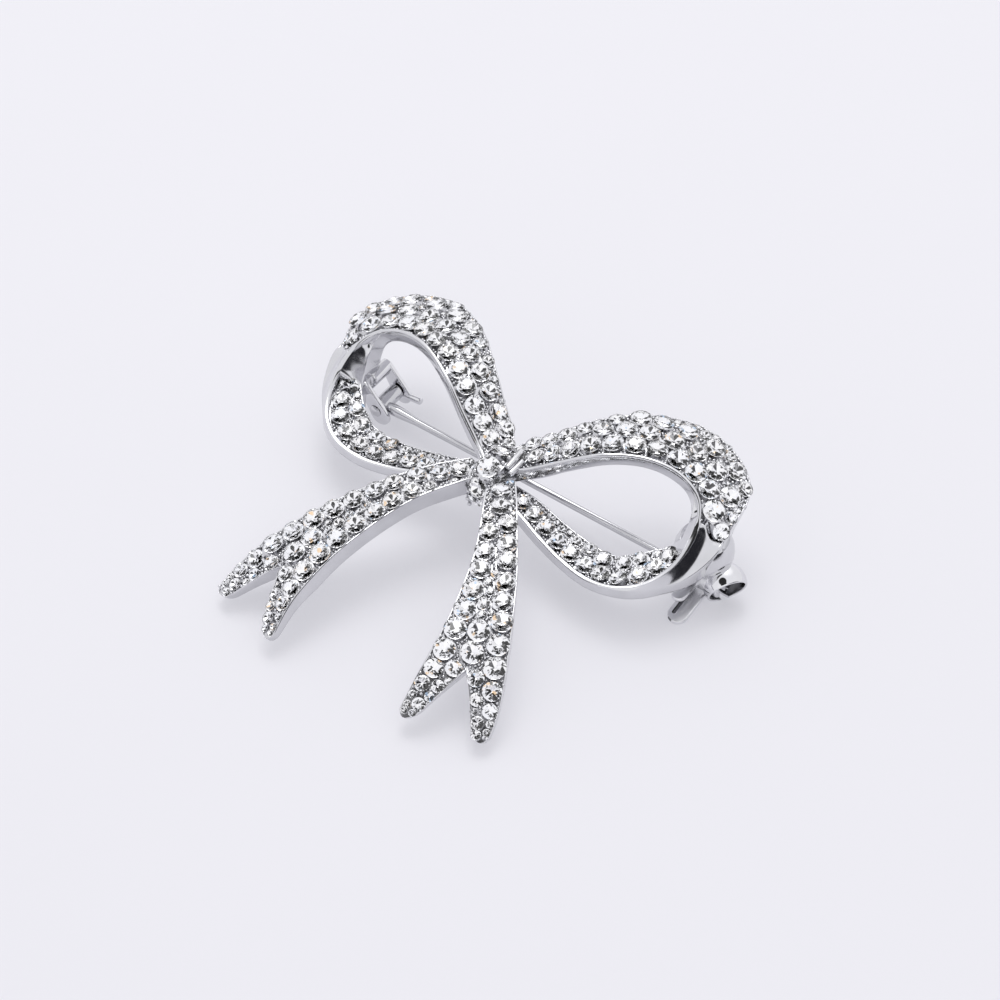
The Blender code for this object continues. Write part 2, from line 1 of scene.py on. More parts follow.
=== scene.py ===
"""Looks of the bow brooch: a finer casting, faceted stones, polished findings, floor, light and camera.

Shapes are worked out in millimetres in the CAD frame: the bow faces +Z, its loops lie towards +Y, and the
origin is the middle of the knot's flat back. They are turned into metres where meshes are made.
"""

import json
import math
import random
from collections import namedtuple

import bmesh
import bpy
import numpy as np
from mathutils import Matrix, Vector

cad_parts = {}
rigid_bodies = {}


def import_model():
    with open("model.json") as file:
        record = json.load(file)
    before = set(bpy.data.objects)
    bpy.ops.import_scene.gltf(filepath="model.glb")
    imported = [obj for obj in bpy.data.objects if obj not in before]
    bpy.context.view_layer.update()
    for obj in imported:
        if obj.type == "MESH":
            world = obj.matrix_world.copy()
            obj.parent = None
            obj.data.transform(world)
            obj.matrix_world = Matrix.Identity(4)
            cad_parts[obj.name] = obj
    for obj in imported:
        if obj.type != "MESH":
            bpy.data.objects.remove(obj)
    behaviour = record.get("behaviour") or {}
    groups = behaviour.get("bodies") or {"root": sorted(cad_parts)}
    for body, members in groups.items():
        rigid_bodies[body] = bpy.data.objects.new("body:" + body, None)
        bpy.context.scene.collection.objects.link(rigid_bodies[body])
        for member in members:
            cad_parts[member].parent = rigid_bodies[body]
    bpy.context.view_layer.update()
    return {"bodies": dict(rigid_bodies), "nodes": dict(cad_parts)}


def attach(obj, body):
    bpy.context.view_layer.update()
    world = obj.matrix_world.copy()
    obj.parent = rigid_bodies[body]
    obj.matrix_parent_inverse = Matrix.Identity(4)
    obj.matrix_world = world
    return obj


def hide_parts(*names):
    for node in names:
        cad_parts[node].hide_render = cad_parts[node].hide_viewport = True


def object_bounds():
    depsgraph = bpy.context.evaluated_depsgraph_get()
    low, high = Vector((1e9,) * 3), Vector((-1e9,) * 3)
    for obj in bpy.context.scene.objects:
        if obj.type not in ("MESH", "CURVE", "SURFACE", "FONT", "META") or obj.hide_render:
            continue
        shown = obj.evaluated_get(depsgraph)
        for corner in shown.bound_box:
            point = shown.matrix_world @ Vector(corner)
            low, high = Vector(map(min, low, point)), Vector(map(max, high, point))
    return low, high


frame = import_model()

MM = 0.001
TINY = 1e-9  # stands in for zero

# --- ribbon loop ---
# Each station: x, y, z of the rim's top, width and tilt in degrees of the outer bed, width of the
# inner bed and its depth below the rim, and the height of the casting's back.
LOOP_STATIONS = (
    (0.6, 0.1, 3.4, 2.4, 0, 0.06, 0.3, 1.8),
    (3.0, 1.6, 4.1, 3.8, 0, 0.06, 0.3, 2.6),
    (5.8, 3.0, 5.6, 4.4, 0, 0.06, 0.3, 4.2),
    (9.2, 4.9, 7.1, 5.1, 2, 0.06, 0.3, 5.6),
    (12.8, 6.7, 7.4, 6.2, 4, 0.06, 0.3, 6.0),
    (16.1, 7.5, 6.9, 7.0, 6, 0.06, 0.3, 5.5),
    (18.8, 7.0, 6.0, 6.2, 10, 0.06, 0.3, 4.3),
    (20.3, 5.4, 4.9, 3.4, 14, 0.65, 1.25, 1.8),
    (20.8, 3.1, 3.5, 2.4, 18, 1.6, 2.0, -0.2),
    (20.4, 0.5, 2.2, 1.5, 28, 3.0, 0.9, -0.6),
    (19.0, -2.0, 1.3, 0.7, 42, 3.9, 0.4, -0.7),
    (16.6, -3.6, 0.7, 0.2, 50, 4.1, 0.3, -0.8),
    (13.6, -3.9, 0.3, 0.2, 50, 3.9, 0.3, -1.1),
    (10.4, -3.4, 0.4, 0.2, 50, 3.5, 0.3, -1.0),
    (7.2, -2.6, 0.9, 0.2, 50, 3.0, 0.3, -0.6),
    (4.0, -1.6, 1.5, 0.2, 50, 2.5, 0.3, -0.1),
    (1.0, -0.8, 1.5, 0.2, 50, 2.0, 0.3, 0.1),
)
LOOP_STEPS = 12  # sections between neighbouring stations
BED_STEPS = 30  # the same where places for stones are sought
RIM_HALF = 0.21  # half the width of the raised rim on the bands
RIM_SWELL = 0.05  # added to it at the turn
SWELL_REACH = 1.8  # stations over which that fades
TURN = 8.6  # station of the turn
BED_DEPTH = 0.55  # of the outer bed below the rim, where it holds stones
BARE_DEPTH = 0.1  # and where it is bare
BED_END = (7.4, 7.8)  # stations between which the outer bed rises to the polished turn
EARLY_END = 0.45  # by which it rises sooner beside the rim
EARLY_FADE = (0.3, 1.8)  # offsets from the rim between which that fades
LIP = 0.2  # width of the lip along a bed's free edge
LIP_DROP = 0.3  # of that lip's top below the rim
LIP_FOOT = 1.2  # of a lip from the free edge, in lip widths
INNER_START = (8.3, 8.65)  # stations between which the inner bed sinks
INNER_DEPTH = 0.3  # by which it sinks below its edge
DIP = 0.75  # of the polished face beside the rim at the turn
DIP_WIDTH = 1.5  # over which it falls
DIP_SPAN = (6.9, 7.5, 9.6, 11.0)  # stations where it starts, is full, starts to fade and ends
SLANT_SPAN = (6.6, 7.4, 8.35, 8.75)  # the same for the slanted inner face at the turn
BED_CROWN = 0.045  # rise of the outer bed's middle, as a share of its width
SHADED_SPAN = (1.6, 6.95)  # stations where the metal between the stones is rougher and painted darker, as shade in the bed
OUTER_POINTS, INNER_POINTS = 21, 6  # points across each bed in a section
CORNER_STEPS = 4  # points on a rounded corner
RIM_ROUND, BACK_ROUND = 0.26, 0.35  # radii of a section's corners
OUTER_LIP_ROUNDS, INNER_LIP_ROUNDS = (0.06, 0.14), (0.1, 0.06)

# --- tail ---
# Each station: x, y, z of the inner edge, then x, y, z of the outer edge.
TAIL_STATIONS = (
    (0.2, -1.0, 3.6, 2.8, 0.0, 3.6),
    (1.7, -3.9, 4.0, 4.9, -2.7, 3.8),
    (3.5, -7.1, 3.9, 7.2, -5.9, 3.6),
    (4.9, -10.2, 3.3, 9.5, -9.2, 2.9),
    (5.9, -13.4, 2.7, 11.4, -12.4, 2.2),
    (6.7, -16.6, 2.0, 13.1, -15.4, 1.2),
    (7.2, -19.8, 1.1, 14.5, -18.2, 0.0),
    (7.5, -22.8, -0.1, 15.6, -20.8, -1.6),
    (7.5, -26.0, -2.5, 16.2, -23.6, -3.1),
)
TAIL_STEPS = 12
TAIL_THICK = ((0.0, 2.3), (0.75, 2.1), (1.0, 1.1))  # against the share of the tail's length
TAIL_LIP = 0.2  # raised edge on each side of the tail
TAIL_LIP_DROP = 0.18  # of its top below the tail's edge line
LIP_SLOPE = 0.05  # width of the lip's slope down to the bed
LEAST_LIP = 0.12  # least height of the lip over the bed
TAIL_BED = 0.5  # depth of the bed below the tail's edge line
TIP_BED = 0.3  # the same at the tips
TIP_SPAN = (6.9, 7.5)  # stations between which it grows shallow
NOTCH_START = 6.2  # station of the fork's apex
NOTCH_SHARES = (0.175, 0.825)  # where the fork's edges end, as shares of the width
FORK_RISE = (-0.1, 0.25)  # stations from the apex where its lips rise
TIP_LENGTH = 0.9  # of the rounded end of a prong, in mm
EDGE_ROUND = 0.15

# --- knot ---
KNOT_RADIUS = 2.9
KNOT_CENTRE = (0.4, 1.4)  # y and z of the band's axis
KNOT_HALF_WIDTH = 1.3
KNOT_LIP = 0.22
KNOT_SWEEP = (-28, 208)  # turns in degrees between which the band runs, from +Y towards +Z
KNOT_ROUNDS = (0, 0.15, 0.08, 0.02, 0.02, 0.08, 0.15, 0)  # radii of the band's corners
FOLDS = (((1.5, 0.2, 4.3), (1.25, 3.2, 4.1)),
         ((1.95, 0.0, 3.85), (1.95, 3.0, 3.75)))  # ends of the folds beside it
FOLD_RADIUS = 0.34
# Stones over the knot: x, turn in degrees and radius.
KNOT_STONES = (
    (0.0, 36, 1.0), (0.0, 72, 1.0), (0.0, 111, 1.16), (0.0, 150, 1.04),
    (-0.55, 178, 0.52), (0.55, 178, 0.52), (0.0, 190, 0.42),
)
KNOT_BEAD_TURNS = 17.5 + 18.5 * np.arange(11)  # in degrees
KNOT_BEAD_X, KNOT_BEAD_RADIUS, KNOT_BEAD_LIFT = 0.95, 0.24, 0.35

# --- pads and findings ---
PAD_X, PAD_Y = 21.0, 5.6
HINGE = (-17.4, 5.85, -2.15)
KNUCKLE_RADIUS = 0.88
KNUCKLE_BORE = 0.48
KNUCKLE_HALF = 1.45
BARREL = (-18.9, 0.35)  # x and z of the bracket's rolled fold
BARREL_RADIUS = 0.72
BARREL_SPAN = (5.1, 7.9)  # along y
EAR_TIP = (-16.95, -2.65)
EAR_TIP_RADIUS = 1.15
EAR_GAP = 3.2
EAR_THICK = 0.5
FINGER_START = (-18.3, 7.66, -2.75)
FINGER_END = (-14.6, 7.8, -2.5)
FINGER_RADIUS = 0.4
RIVET_RADIUS = 0.42
RIVET_CLEARANCE = 0.04  # between an ear and a head
RIVET_HEAD = ((0.02, 0.3), (0.3, 0.28), (0.5, 0.2), (0.66, 0.06), (0.66, 0.0))  # radius and height
STEM_START = (-16.85, 5.0, -2.16)
STEM_END = (24.3, 5.0, -2.65)
STEM_GIRTHS = ((0.0, 0.5), (0.012, 0.62), (0.04, 0.6), (0.09, 0.42), (0.2, 0.38), (0.88, 0.37),
               (0.96, 0.23), (1.0, 0.05))  # radius against the share of the length
BASE_Z = (-1.18, -0.6)
BASE_RADIUS = 2.3
BRACKET_HALF = (2.15, 2.3)
BRACKET_CORNER = 0.7
SLEEVE_AXIS = (0, 5.05, -2.65)  # a point on it
SLEEVE_X = (20.0, 23.7)
SLEEVE_RADIUS = 1.32
SLEEVE_BORE = 0.8
# A tab: x of its two sides, y and z of its tip, z of its root.
LONG_TAB = (20.4, 22.55, -0.4, -4.15, -3.4)
SHORT_TAB = (20.1, 21.6, 0.9, -2.4, -2.6)
TAB_ROOT_Y = 4.4
TAB_THICK = 0.5
GROOVE_X = -0.4  # from the middle of the long tab
GROOVE_ENDS = (1.0, 0.95)  # from the tab's root and from its tip
GROOVE_RADII = (0.22, 0.2)
GROOVE_DEPTH = 0.25
SLOT_HALF = 0.46  # half the width of the slot in the sleeve
BULB_SLOT_HALF = 0.33  # and in the bulb
BULB_CENTRE = (23.85, 5.05, -2.3)
BULB_RADIUS = 2.2
BULB_WALL = 0.3
BULB_FACING = (0.786, -0.52, -0.323)  # direction of its open side
BULB_OPENING = 0.7  # distance of the opening's rim from the bulb's centre
BULB_START = 22.68  # x of its end beside the tabs
SLEEVE_CLEARANCE = 0.08  # round the sleeve in the bulb
SLEEVE_SEAT = 0.4  # depth of the bulb's bore past the sleeve's end
CATCH_PAD = ((2.3, -0.65), (2.7, -0.58), (2.86, -0.4), (2.95, 0.0), (2.96, 0.5), (2.88, 1.1),
             (2.7, 1.6), (2.4, 2.1))  # radius and height
HINGE_PAD = ((2.2, -0.65), (2.45, -0.55), (2.5, -0.4), (2.5, 0.6), (2.3, 1.0))
CUT_LOW, CUT_HIGH = (18, 0, -8), (28, 10, 4)  # corners of the blocks that cut the catch, well past it

# --- stones ---
STONE_RADIUS = 1.09
TABLE_RADIUS, CROWN_HEIGHT, PAVILION_DEPTH = 0.58, 0.24, 0.43  # of a cut stone, in radii
GIRDLE_HALF = 0.04
STONE_LIFT = 0.5  # height of a stone's girdle above the bed, in radii
STONE_LEAN = 0.07  # spread of its lean
SMALL_RADII = (0.85, 0.66, 0.5, 0.38)
SMALL_GAP = -0.02  # between small stones, which may touch
BEAD_RADIUS = 0.17
SMALL_BEAD = 0.75  # the second size of bead, as a share of the first
BEAD_ROOM = 0.9  # that a bead needs towards a free edge, in radii
BEAD_LIFT = 0.2
GRID = 0.12  # spacing of the places tried for a stone

# A loop's bands: name, bed, last station, widest offset, rows from the rim, then shares of the length
# and of the full radius there.
BANDS = (
    ("upper", "outer", 7.5, 7.2, ("rim", "middle", "outer"), (0.0, 0.35), (0.8, 1.0)),
    ("lower", "inner", 15.9, 4.4, ("rim", "inner"), (0.6, 1.0), (0.92, 0.77)),
)
FIRST_STONE = {"upper": {1: 0.7, -1: 0.45}, "lower": {1: 8.65, -1: 8.65}}  # stations, by side
ROW_PLACES = 1.02 + 1.72 * np.arange(4)  # of the rows from the rim, in radii
LOOP_GAP = -0.12  # between a loop's stones, whose round edges may overlap
LOOP_ROOM = 0.95  # that they need towards a free edge, in radii
CLOSING = 4  # mm a station by which the bare turn reaches out from the rim

TAIL_SIZES = ((0.0, 1.0), (1.4, 0.93), (2.5, 0.93), (4.0, 1.0), (5.8, 1.04), (6.9, 0.8), (7.2, 0.66),
              (7.3, 0.38), (8.0, 0.32))  # station and share of the full radius
TAIL_SPANS = (("middle", 0.55, 1.4), ("outer", 1.35, None), ("inner", 1.35, None),
              ("middle", 3.2, None))  # rows with their first and last stations
TAIL_GAP = -0.1
TAIL_ROOM = 0.9  # that a tail's stone needs towards the lips, in radii
ROW_INSET = 0.08  # of a row along an edge from that edge
LAST_STATION = 7.9  # with stones on a tail
FORK_START = -0.12  # from the apex, where the fork takes room

# --- stage ---
FLOOR_DROPS = (("pin", "Y", 42.0), ("sleeve", "X", 4.5))  # body, axis, and fall of the floor as it turns
FLOOR_DROP_TURN = math.radians(60)  # turn by which the floor has fallen
FLOOR_GAP = 0.02  # below the lowest point at rest
SURROUND = (0.97, 0.97, 1.0)
# Fields and cards: heading, cosines of the angles where each starts and is full, and colour.
PATCHES = (
    ((-0.25, 0.45, 0.85), 0.80, 0.97, (1.3, 1.3, 1.32)),  # bright field overhead and behind
    ((0.35, -0.80, 0.45), 0.80, 0.95, (1.05, 1.05, 1.07)),  # bright field in front
    ((0.97, -0.06, 0.16), 0.90, 0.925, (0.02, 0.02, 0.025)),  # dark card to the right
    ((0.06, -0.48, 0.87), 0.935, 0.95, (0.03, 0.03, 0.03)),  # dark card above the tails
)
CAMERA_AZIMUTH, CAMERA_ELEVATION = math.radians(35.6), math.radians(48)
CAMERA_TARGET = (-1.3, 3.0, -4.6)
CAMERA_DISTANCE = 0.29  # in metres
CAMERA_SENSOR, CAMERA_LENS = 36, 104.4


# --- basic tools ---

def unit(vectors):
    """Return the rows scaled to length one."""
    return vectors / np.linalg.norm(vectors, axis=-1)[..., None]


def spline(stations, steps):
    """Return the rows of a Catmull-Rom curve through the stations, steps rows to each span."""
    rows = np.array(stations, float)
    knots = np.vstack((2 * rows[0] - rows[1], rows, 2 * rows[-1] - rows[-2]))
    curve = []
    for a, b, c, d in zip(knots, knots[1:], knots[2:], knots[3:]):
        for t in np.arange(steps) / steps:
            curve.append(b + 0.5 * t * (c - a + t * (2 * a - 5 * b + 4 * c - d + t * (3 * (b - c) + d - a))))
    curve.append(rows[-1])
    return np.array(curve)


def smoothstep(low, high, value):
    """Return 0 below low, 1 above high and a smooth rise between them."""
    t = np.clip((value - low) / (high - low), 0, 1)
    return t * t * (3 - 2 * t)


def round_corners(points, radii, steps=CORNER_STEPS):
    """Return the closed outline with each corner that has a radius replaced by a curve."""
    rounded = []
    for i, (point, radius) in enumerate(zip(points, radii)):
        if radius == 0:
            rounded.append(point)
            continue
        before, after = points[i - 1] - point, points[(i + 1) % len(points)] - point
        start = point + before * min(radius / max(np.linalg.norm(before), TINY), 0.48)
        end = point + after * min(radius / max(np.linalg.norm(after), TINY), 0.48)
        for t in np.linspace(0, 1, steps):
            rounded.append(start * (1 - t) ** 2 + point * 2 * t * (1 - t) + end * t ** 2)
    return rounded


def loft(bm, rings, closed=False, in_bed=None):
    """Skin rings of points, with flat ends or round to the first. Faces in a bed get material 1."""
    loops = [[bm.verts.new(point) for point in ring] for ring in rings]
    pairs = list(zip(loops, loops[1:]))
    if closed:
        pairs.append((loops[-1], loops[0]))
    else:
        bm.faces.new(loops[0])
        bm.faces.new(loops[-1])
    for k, (near, far) in enumerate(pairs):
        for i in range(len(near)):
            j = (i + 1) % len(near)
            face = bm.faces.new((near[i], near[j], far[j], far[i]))
            face.material_index = int(in_bed is not None and in_bed(k, i))


def turned(bm, profile, centre, axis, steps=40, closed=False):
    """Add a turned shape from (radius, height along the axis) pairs. A closed profile makes a ring."""
    axis = unit(np.array(axis, float))
    centre = np.array(centre, float)
    first = unit(np.cross(axis, (0.3, 0.5, 0.81)))
    second = np.cross(axis, first)
    rays = [first * math.cos(a) + second * math.sin(a) for a in np.arange(steps) * math.tau / steps]
    rings = [[centre + axis * height + radius * ray for ray in rays] for radius, height in profile]
    loft(bm, rings, closed)


def rounded_edges(thickness, edge, steps):
    """Return the (inset, height) steps of the two rounded edges of something this thick."""
    turns = np.linspace(0, math.pi / 2, steps)
    arc = [(edge * (1 - math.sin(t)), edge * (1 - math.cos(t))) for t in turns]
    return arc + [(inset, thickness - height) for inset, height in reversed(arc)]


def rod_profile(radius, low, high, edge):
    """Return the profile of a rod with rounded ends."""
    return [(radius - inset, low + height) for inset, height in rounded_edges(high - low, edge, 5)]


def capsule(start, end, start_radius, end_radius, steps=14):
    """Return the outline round two circles, anticlockwise."""
    start, end = np.array(start, float), np.array(end, float)
    along = end - start
    heading = math.atan2(along[1], along[0])
    spread = math.acos((start_radius - end_radius) / np.linalg.norm(along))
    outline = []
    arcs = ((end, end_radius, -spread, spread), (start, start_radius, spread, math.tau - spread))
    for centre, radius, first, last in arcs:
        for turn in np.linspace(heading + first, heading + last, steps):
            outline.append(centre + radius * np.array((math.cos(turn), math.sin(turn))))
    return outline


def slab(bm, outline, origin, u, v, thickness, edge):
    """Add a plate with rounded edges from an anticlockwise convex outline along u and v."""
    outline, u, v = np.array(outline), np.array(u, float), np.array(v, float)
    ahead = np.roll(outline, -1, axis=0) - np.roll(outline, 1, axis=0)
    inward = unit(np.column_stack((-ahead[:, 1], ahead[:, 0])))
    w = np.cross(u, v)
    rings = []
    for inset, height in rounded_edges(thickness, edge, 4):
        rings.append([origin + u * x + v * y + w * height for x, y in outline + inward * inset])
    loft(bm, rings)


def rod(bm, start, end, radius, edge, steps):
    """Add a rod with rounded ends between two points."""
    start, end = np.array(start), np.array(end)
    turned(bm, rod_profile(radius, 0, np.linalg.norm(end - start), edge), start, end - start, steps)


def mesh_of(bm, name="part"):
    """Return a mesh of the bmesh, which is used up."""
    mesh = bpy.data.meshes.new(name)
    bm.to_mesh(mesh)
    bm.free()
    return mesh


def merge(bm, *parts):
    """Add the parts to the bmesh. They are used up."""
    for part in parts:
        mesh = mesh_of(part)
        bm.from_mesh(mesh)
        bpy.data.meshes.remove(mesh)


def cut_away(bm, cutter):
    """Return the bmesh without the volume of the cutter. Both are used up."""
    parts = []
    for part in (bm, cutter):
        bmesh.ops.recalc_face_normals(part, faces=part.faces)
        parts.append(bpy.data.objects.new("part", mesh_of(part)))
        bpy.context.scene.collection.objects.link(parts[-1])
    modifier = parts[0].modifiers.new("cut", "BOOLEAN")
    modifier.operation = "DIFFERENCE"
    modifier.solver = "EXACT"
    modifier.object = parts[1]
    bpy.context.view_layer.update()
    result = bmesh.new()
    result.from_object(parts[0], bpy.context.evaluated_depsgraph_get())
    for part in parts:
        bpy.data.meshes.remove(part.data)
    return result


def block(low, high):
    """Return a bmesh of a plain block, used to cut."""
    bm = bmesh.new()
    bmesh.ops.create_cube(bm, size=1.0)
    middle, size = (Vector(low) + Vector(high)) / 2, Vector(high) - Vector(low)
    for vert in bm.verts:
        vert.co = Vector(c * s + m for c, s, m in zip(vert.co, size, middle))
    return bm


def add_piece(name, bm, materials, body="bow", nodes=(), sharp_angle=38):
    """Add a bmesh in millimetres as a piece that rides on a body and stands for CAD nodes."""
    bmesh.ops.recalc_face_normals(bm, faces=bm.faces)
    mesh = mesh_of(bm, name)
    for material in materials:
        mesh.materials.append(material)
    mesh.transform(Matrix.Scale(MM, 4))
    if sharp_angle is not None:
        mesh.shade_smooth()
        mesh.set_sharp_from_angle(angle=math.radians(sharp_angle))
    obj = bpy.data.objects.new(name, mesh)
    bpy.context.scene.collection.objects.link(obj)
    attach(obj, body)
    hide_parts(*nodes)


# --- materials ---

class Nodes:
    """Short forms for the node tree of a material or a world."""

    def __init__(self, owner, shader="Principled BSDF"):
        owner.use_nodes = True
        self.owner = owner
        self.tree = owner.node_tree
        self.shader = self.tree.nodes[shader]

    def add(self, kind, **settings):
        """Add a node. A setting names a property, or an input when it starts with a capital letter."""
        node = self.tree.nodes.new(kind)
        for key, value in settings.items():
            if key[0].isupper():
                node.inputs[key.replace("_", " ")].default_value = value
            else:
                setattr(node, key, value)
        return node

    def set(self, **inputs):
        """Set inputs of the shader."""
        for key, value in inputs.items():
            self.shader.inputs[key.replace("_", " ")].default_value = value

    def link(self, source, output, target, name):
        """Link a node's output to another's input."""
        self.tree.links.new(source.outputs[output], target.inputs[name])

    def noise(self, scale, detail=2.0):
        """Add a noise texture in the object's own millimetres."""
        texture = self.add("ShaderNodeTexNoise", Scale=scale / MM, Detail=detail)
        self.link(self.add("ShaderNodeTexCoord"), "Object", texture, "Vector")
        return texture

    def tint(self, noise, stops):
        """Colour the shader by a noise, with a ramp of (place, colour) stops."""
        ramp = self.add("ShaderNodeValToRGB")
        elements = ramp.color_ramp.elements
        while len(elements) < len(stops):
            elements.new(0.5)
        for element, (place, colour) in zip(elements, stops):
            element.position = place
            element.color = (*colour, 1.0)
        self.link(noise, "Fac", ramp, "Fac")
        self.link(ramp, "Color", self.shader, "Base Color")


def metal(name, colour, roughness, waviness):
    """Return a plated metal: faint cloudiness, fine wear in its gloss and slightly wavy reflections."""
    nodes = Nodes(bpy.data.materials.new(name))
    nodes.set(Metallic=1.0)
    dimmer = tuple(0.93 * part for part in colour)
    nodes.tint(nodes.noise(0.35), ((0.35, dimmer), (0.65, colour)))
    gloss = nodes.add("ShaderNodeMapRange", To_Min=roughness * 0.6, To_Max=roughness * 1.5)
    nodes.link(nodes.noise(2.2, 6.0), "Fac", gloss, "Value")
    nodes.link(gloss, "Result", nodes.shader, "Roughness")
    bump = nodes.add("ShaderNodeBump", Strength=waviness, Distance=0.05 * MM)
    nodes.link(nodes.noise(0.5, 1.0), "Fac", bump, "Height")
    nodes.link(bump, "Normal", nodes.shader, "Normal")
    return nodes.owner


def crystal_glass():
    """Return the clear glass of a stone's crown, with a faint cool and warm drift."""
    nodes = Nodes(bpy.data.materials.new("clear_crystal"))
    nodes.set(Transmission_Weight=1.0, Roughness=0.0, IOR=1.56)
    nodes.tint(nodes.noise(0.6), ((0.3, (0.97, 0.98, 1.0)), (0.7, (1.0, 0.99, 0.97))))
    return nodes.owner


def foil():
    """Return the mirror foil behind a stone, with a few painted warm and blue glints that stand in for the
    stones' fire.
    """
    nodes = Nodes(bpy.data.materials.new("foil_back_with_painted_glints"))
    nodes.set(Metallic=1.0, Roughness=0.04)
    white = (0.99, 0.99, 1.0)
    # the rare warm and blue stops are painted glints: coloured flashes of the stones' fire painted into the
    # foil
    stops = ((0.18, (0.6, 0.78, 1.0)), (0.22, white), (0.76, white), (0.80, (1.0, 0.75, 0.5)))
    nodes.tint(nodes.noise(1.4, 0.0), stops)
    return nodes.owner


# --- casting ---

def loop_sections(side, steps=LOOP_STEPS):
    """Return one dict a section: station, rim point, directions, and the sizes from the stations."""
    rows = spline(LOOP_STATIONS, steps)
    rim = rows[:, :3]
    along = unit(np.gradient(rim, axis=0))
    outward = unit(np.column_stack((-along[:, 1], along[:, 0], np.zeros(len(along)))))
    up = np.cross(along, outward)
    tilt = np.radians(rows[:, 4])[:, None]
    slope = outward * np.cos(tilt) - up * np.sin(tilt)
    face = up * np.cos(tilt) + outward * np.sin(tilt)
    station = np.arange(len(rows)) / steps
    half = RIM_HALF + RIM_SWELL * np.exp(-((station - TURN) / SWELL_REACH) ** 2)
    mirror = np.array((side, 1, 1))
    names = ("station", "half", "rim", "outward", "up", "slope", "face", "outer", "inner", "drop", "back")
    columns = (station, half, rim * mirror, outward * mirror, up * mirror, slope * mirror, face * mirror,
               rows[:, 3], rows[:, 5], rows[:, 6], rows[:, 7])
    return [dict(zip(names, section)) for section in zip(*columns)]


def between(span, value):
    """Return 1 between the middle two of four values, falling smoothly to 0 at the outer two."""
    return smoothstep(*span[:2], value) * (1 - smoothstep(*span[2:], value))


def outer_depth(section, offset):
    """Return the depth of the outer bed, which rises to the polished turn, sooner beside the rim."""
    head_start = EARLY_END * (1 - smoothstep(*EARLY_FADE, offset))
    bareness = smoothstep(*BED_END, section["station"] + head_start)
    return BED_DEPTH + (BARE_DEPTH - BED_DEPTH) * bareness


def outer_bed(section, offset):
    """Return a point on the crowned outer bed, offset from the rim's side."""
    share = min(offset / section["outer"], 1.0)
    crown = BED_CROWN * section["outer"] * math.sin(math.pi * share)
    fall = 2 * smoothstep(-DIP_WIDTH, DIP_WIDTH, offset) - 1
    dip = DIP * between(DIP_SPAN, section["station"]) * fall
    edge = section["rim"] + section["outward"] * section["half"]
    height = crown - outer_depth(section, offset) - dip
    return edge + section["slope"] * offset + section["face"] * height


def outer_lip(section, offset):
    """Return a point on the lip along the outer bed's free edge."""
    return outer_bed(section, offset) + section["face"] * max(0.0, outer_depth(section, offset) - LIP_DROP)


def inner_sink(section):
    """Return how far the inner bed lies below its edge."""
    return INNER_DEPTH * smoothstep(*INNER_START, section["station"])


def inner_bed(section, offset):
    """Return a point on the inner bed, offset from the rim's side."""
    slant = between(SLANT_SPAN, section["station"])
    share = min(1.0, offset / max(section["inner"], 0.1))
    drop = section["drop"] * (1 - slant + slant * share) + inner_sink(section)
    return section["rim"] - section["outward"] * (section["half"] + offset) - section["up"] * drop


def loop_ring(section):
    """Return the outline of one section: rim, outer bed and lip, back, inner lip and bed."""
    width, inner_width = section["outer"], section["inner"]
    lip, inner_edge = min(LIP, width / 3), min(LIP, inner_width / 3)
    rim = [section["rim"] + section["outward"] * x for x in (-section["half"], section["half"])]
    outer = [outer_bed(section, a) for a in np.linspace(0.03, width - lip * LIP_FOOT, OUTER_POINTS)]
    outer += [outer_lip(section, width - lip), outer_lip(section, width)]
    inner = [inner_bed(section, a) + section["up"] * inner_sink(section)
             for a in (inner_width, inner_width - inner_edge)]
    inner += [inner_bed(section, a)
              for a in np.linspace(inner_width - inner_edge * LIP_FOOT, 0, INNER_POINTS)]
    down = section["up"] / section["up"][2]
    back = [point - down * (point[2] - section["back"]) for point in (outer[-1], inner[0])]
    radii = [RIM_ROUND, RIM_ROUND, *[0] * OUTER_POINTS, *OUTER_LIP_ROUNDS, BACK_ROUND, BACK_ROUND,
             *INNER_LIP_ROUNDS, *[0] * INNER_POINTS]
    return round_corners(rim + outer + back + inner, radii)


def tail_sections(side):
    """Return station, inner edge, directions across and out, width and thickness of the tail's sections."""
    rows = spline(TAIL_STATIONS, TAIL_STEPS)
    inner, outer = rows[:, :3], rows[:, 3:]
    across = unit(outer - inner)
    along = unit(np.gradient((inner + outer) / 2, axis=0))
    out = unit(np.cross(along, across))
    station = np.arange(len(rows)) / TAIL_STEPS
    thick = np.interp(station / station[-1], *zip(*TAIL_THICK))
    mirror = np.array((side, 1, 1))
    width = np.linalg.norm(outer - inner, axis=1)
    return list(zip(station, inner * mirror, across * mirror, out * mirror, width, thick))


def prong_edges(station, width):
    """Return the offsets of the edges of the tail's two halves, which part at the fork."""
    opening = max(0.0, (station - NOTCH_START) / (len(TAIL_STATIONS) - 1 - NOTCH_START))
    inner_share, outer_share = (0.5 + (end - 0.5) * opening for end in NOTCH_SHARES)
    return (0.0, inner_share * width), (width, outer_share * width)


def tail_bed_depth(station):
    """Return the depth of the bed below the tail's edge line."""
    return TAIL_BED + (TIP_BED - TAIL_BED) * smoothstep(*TIP_SPAN, station)


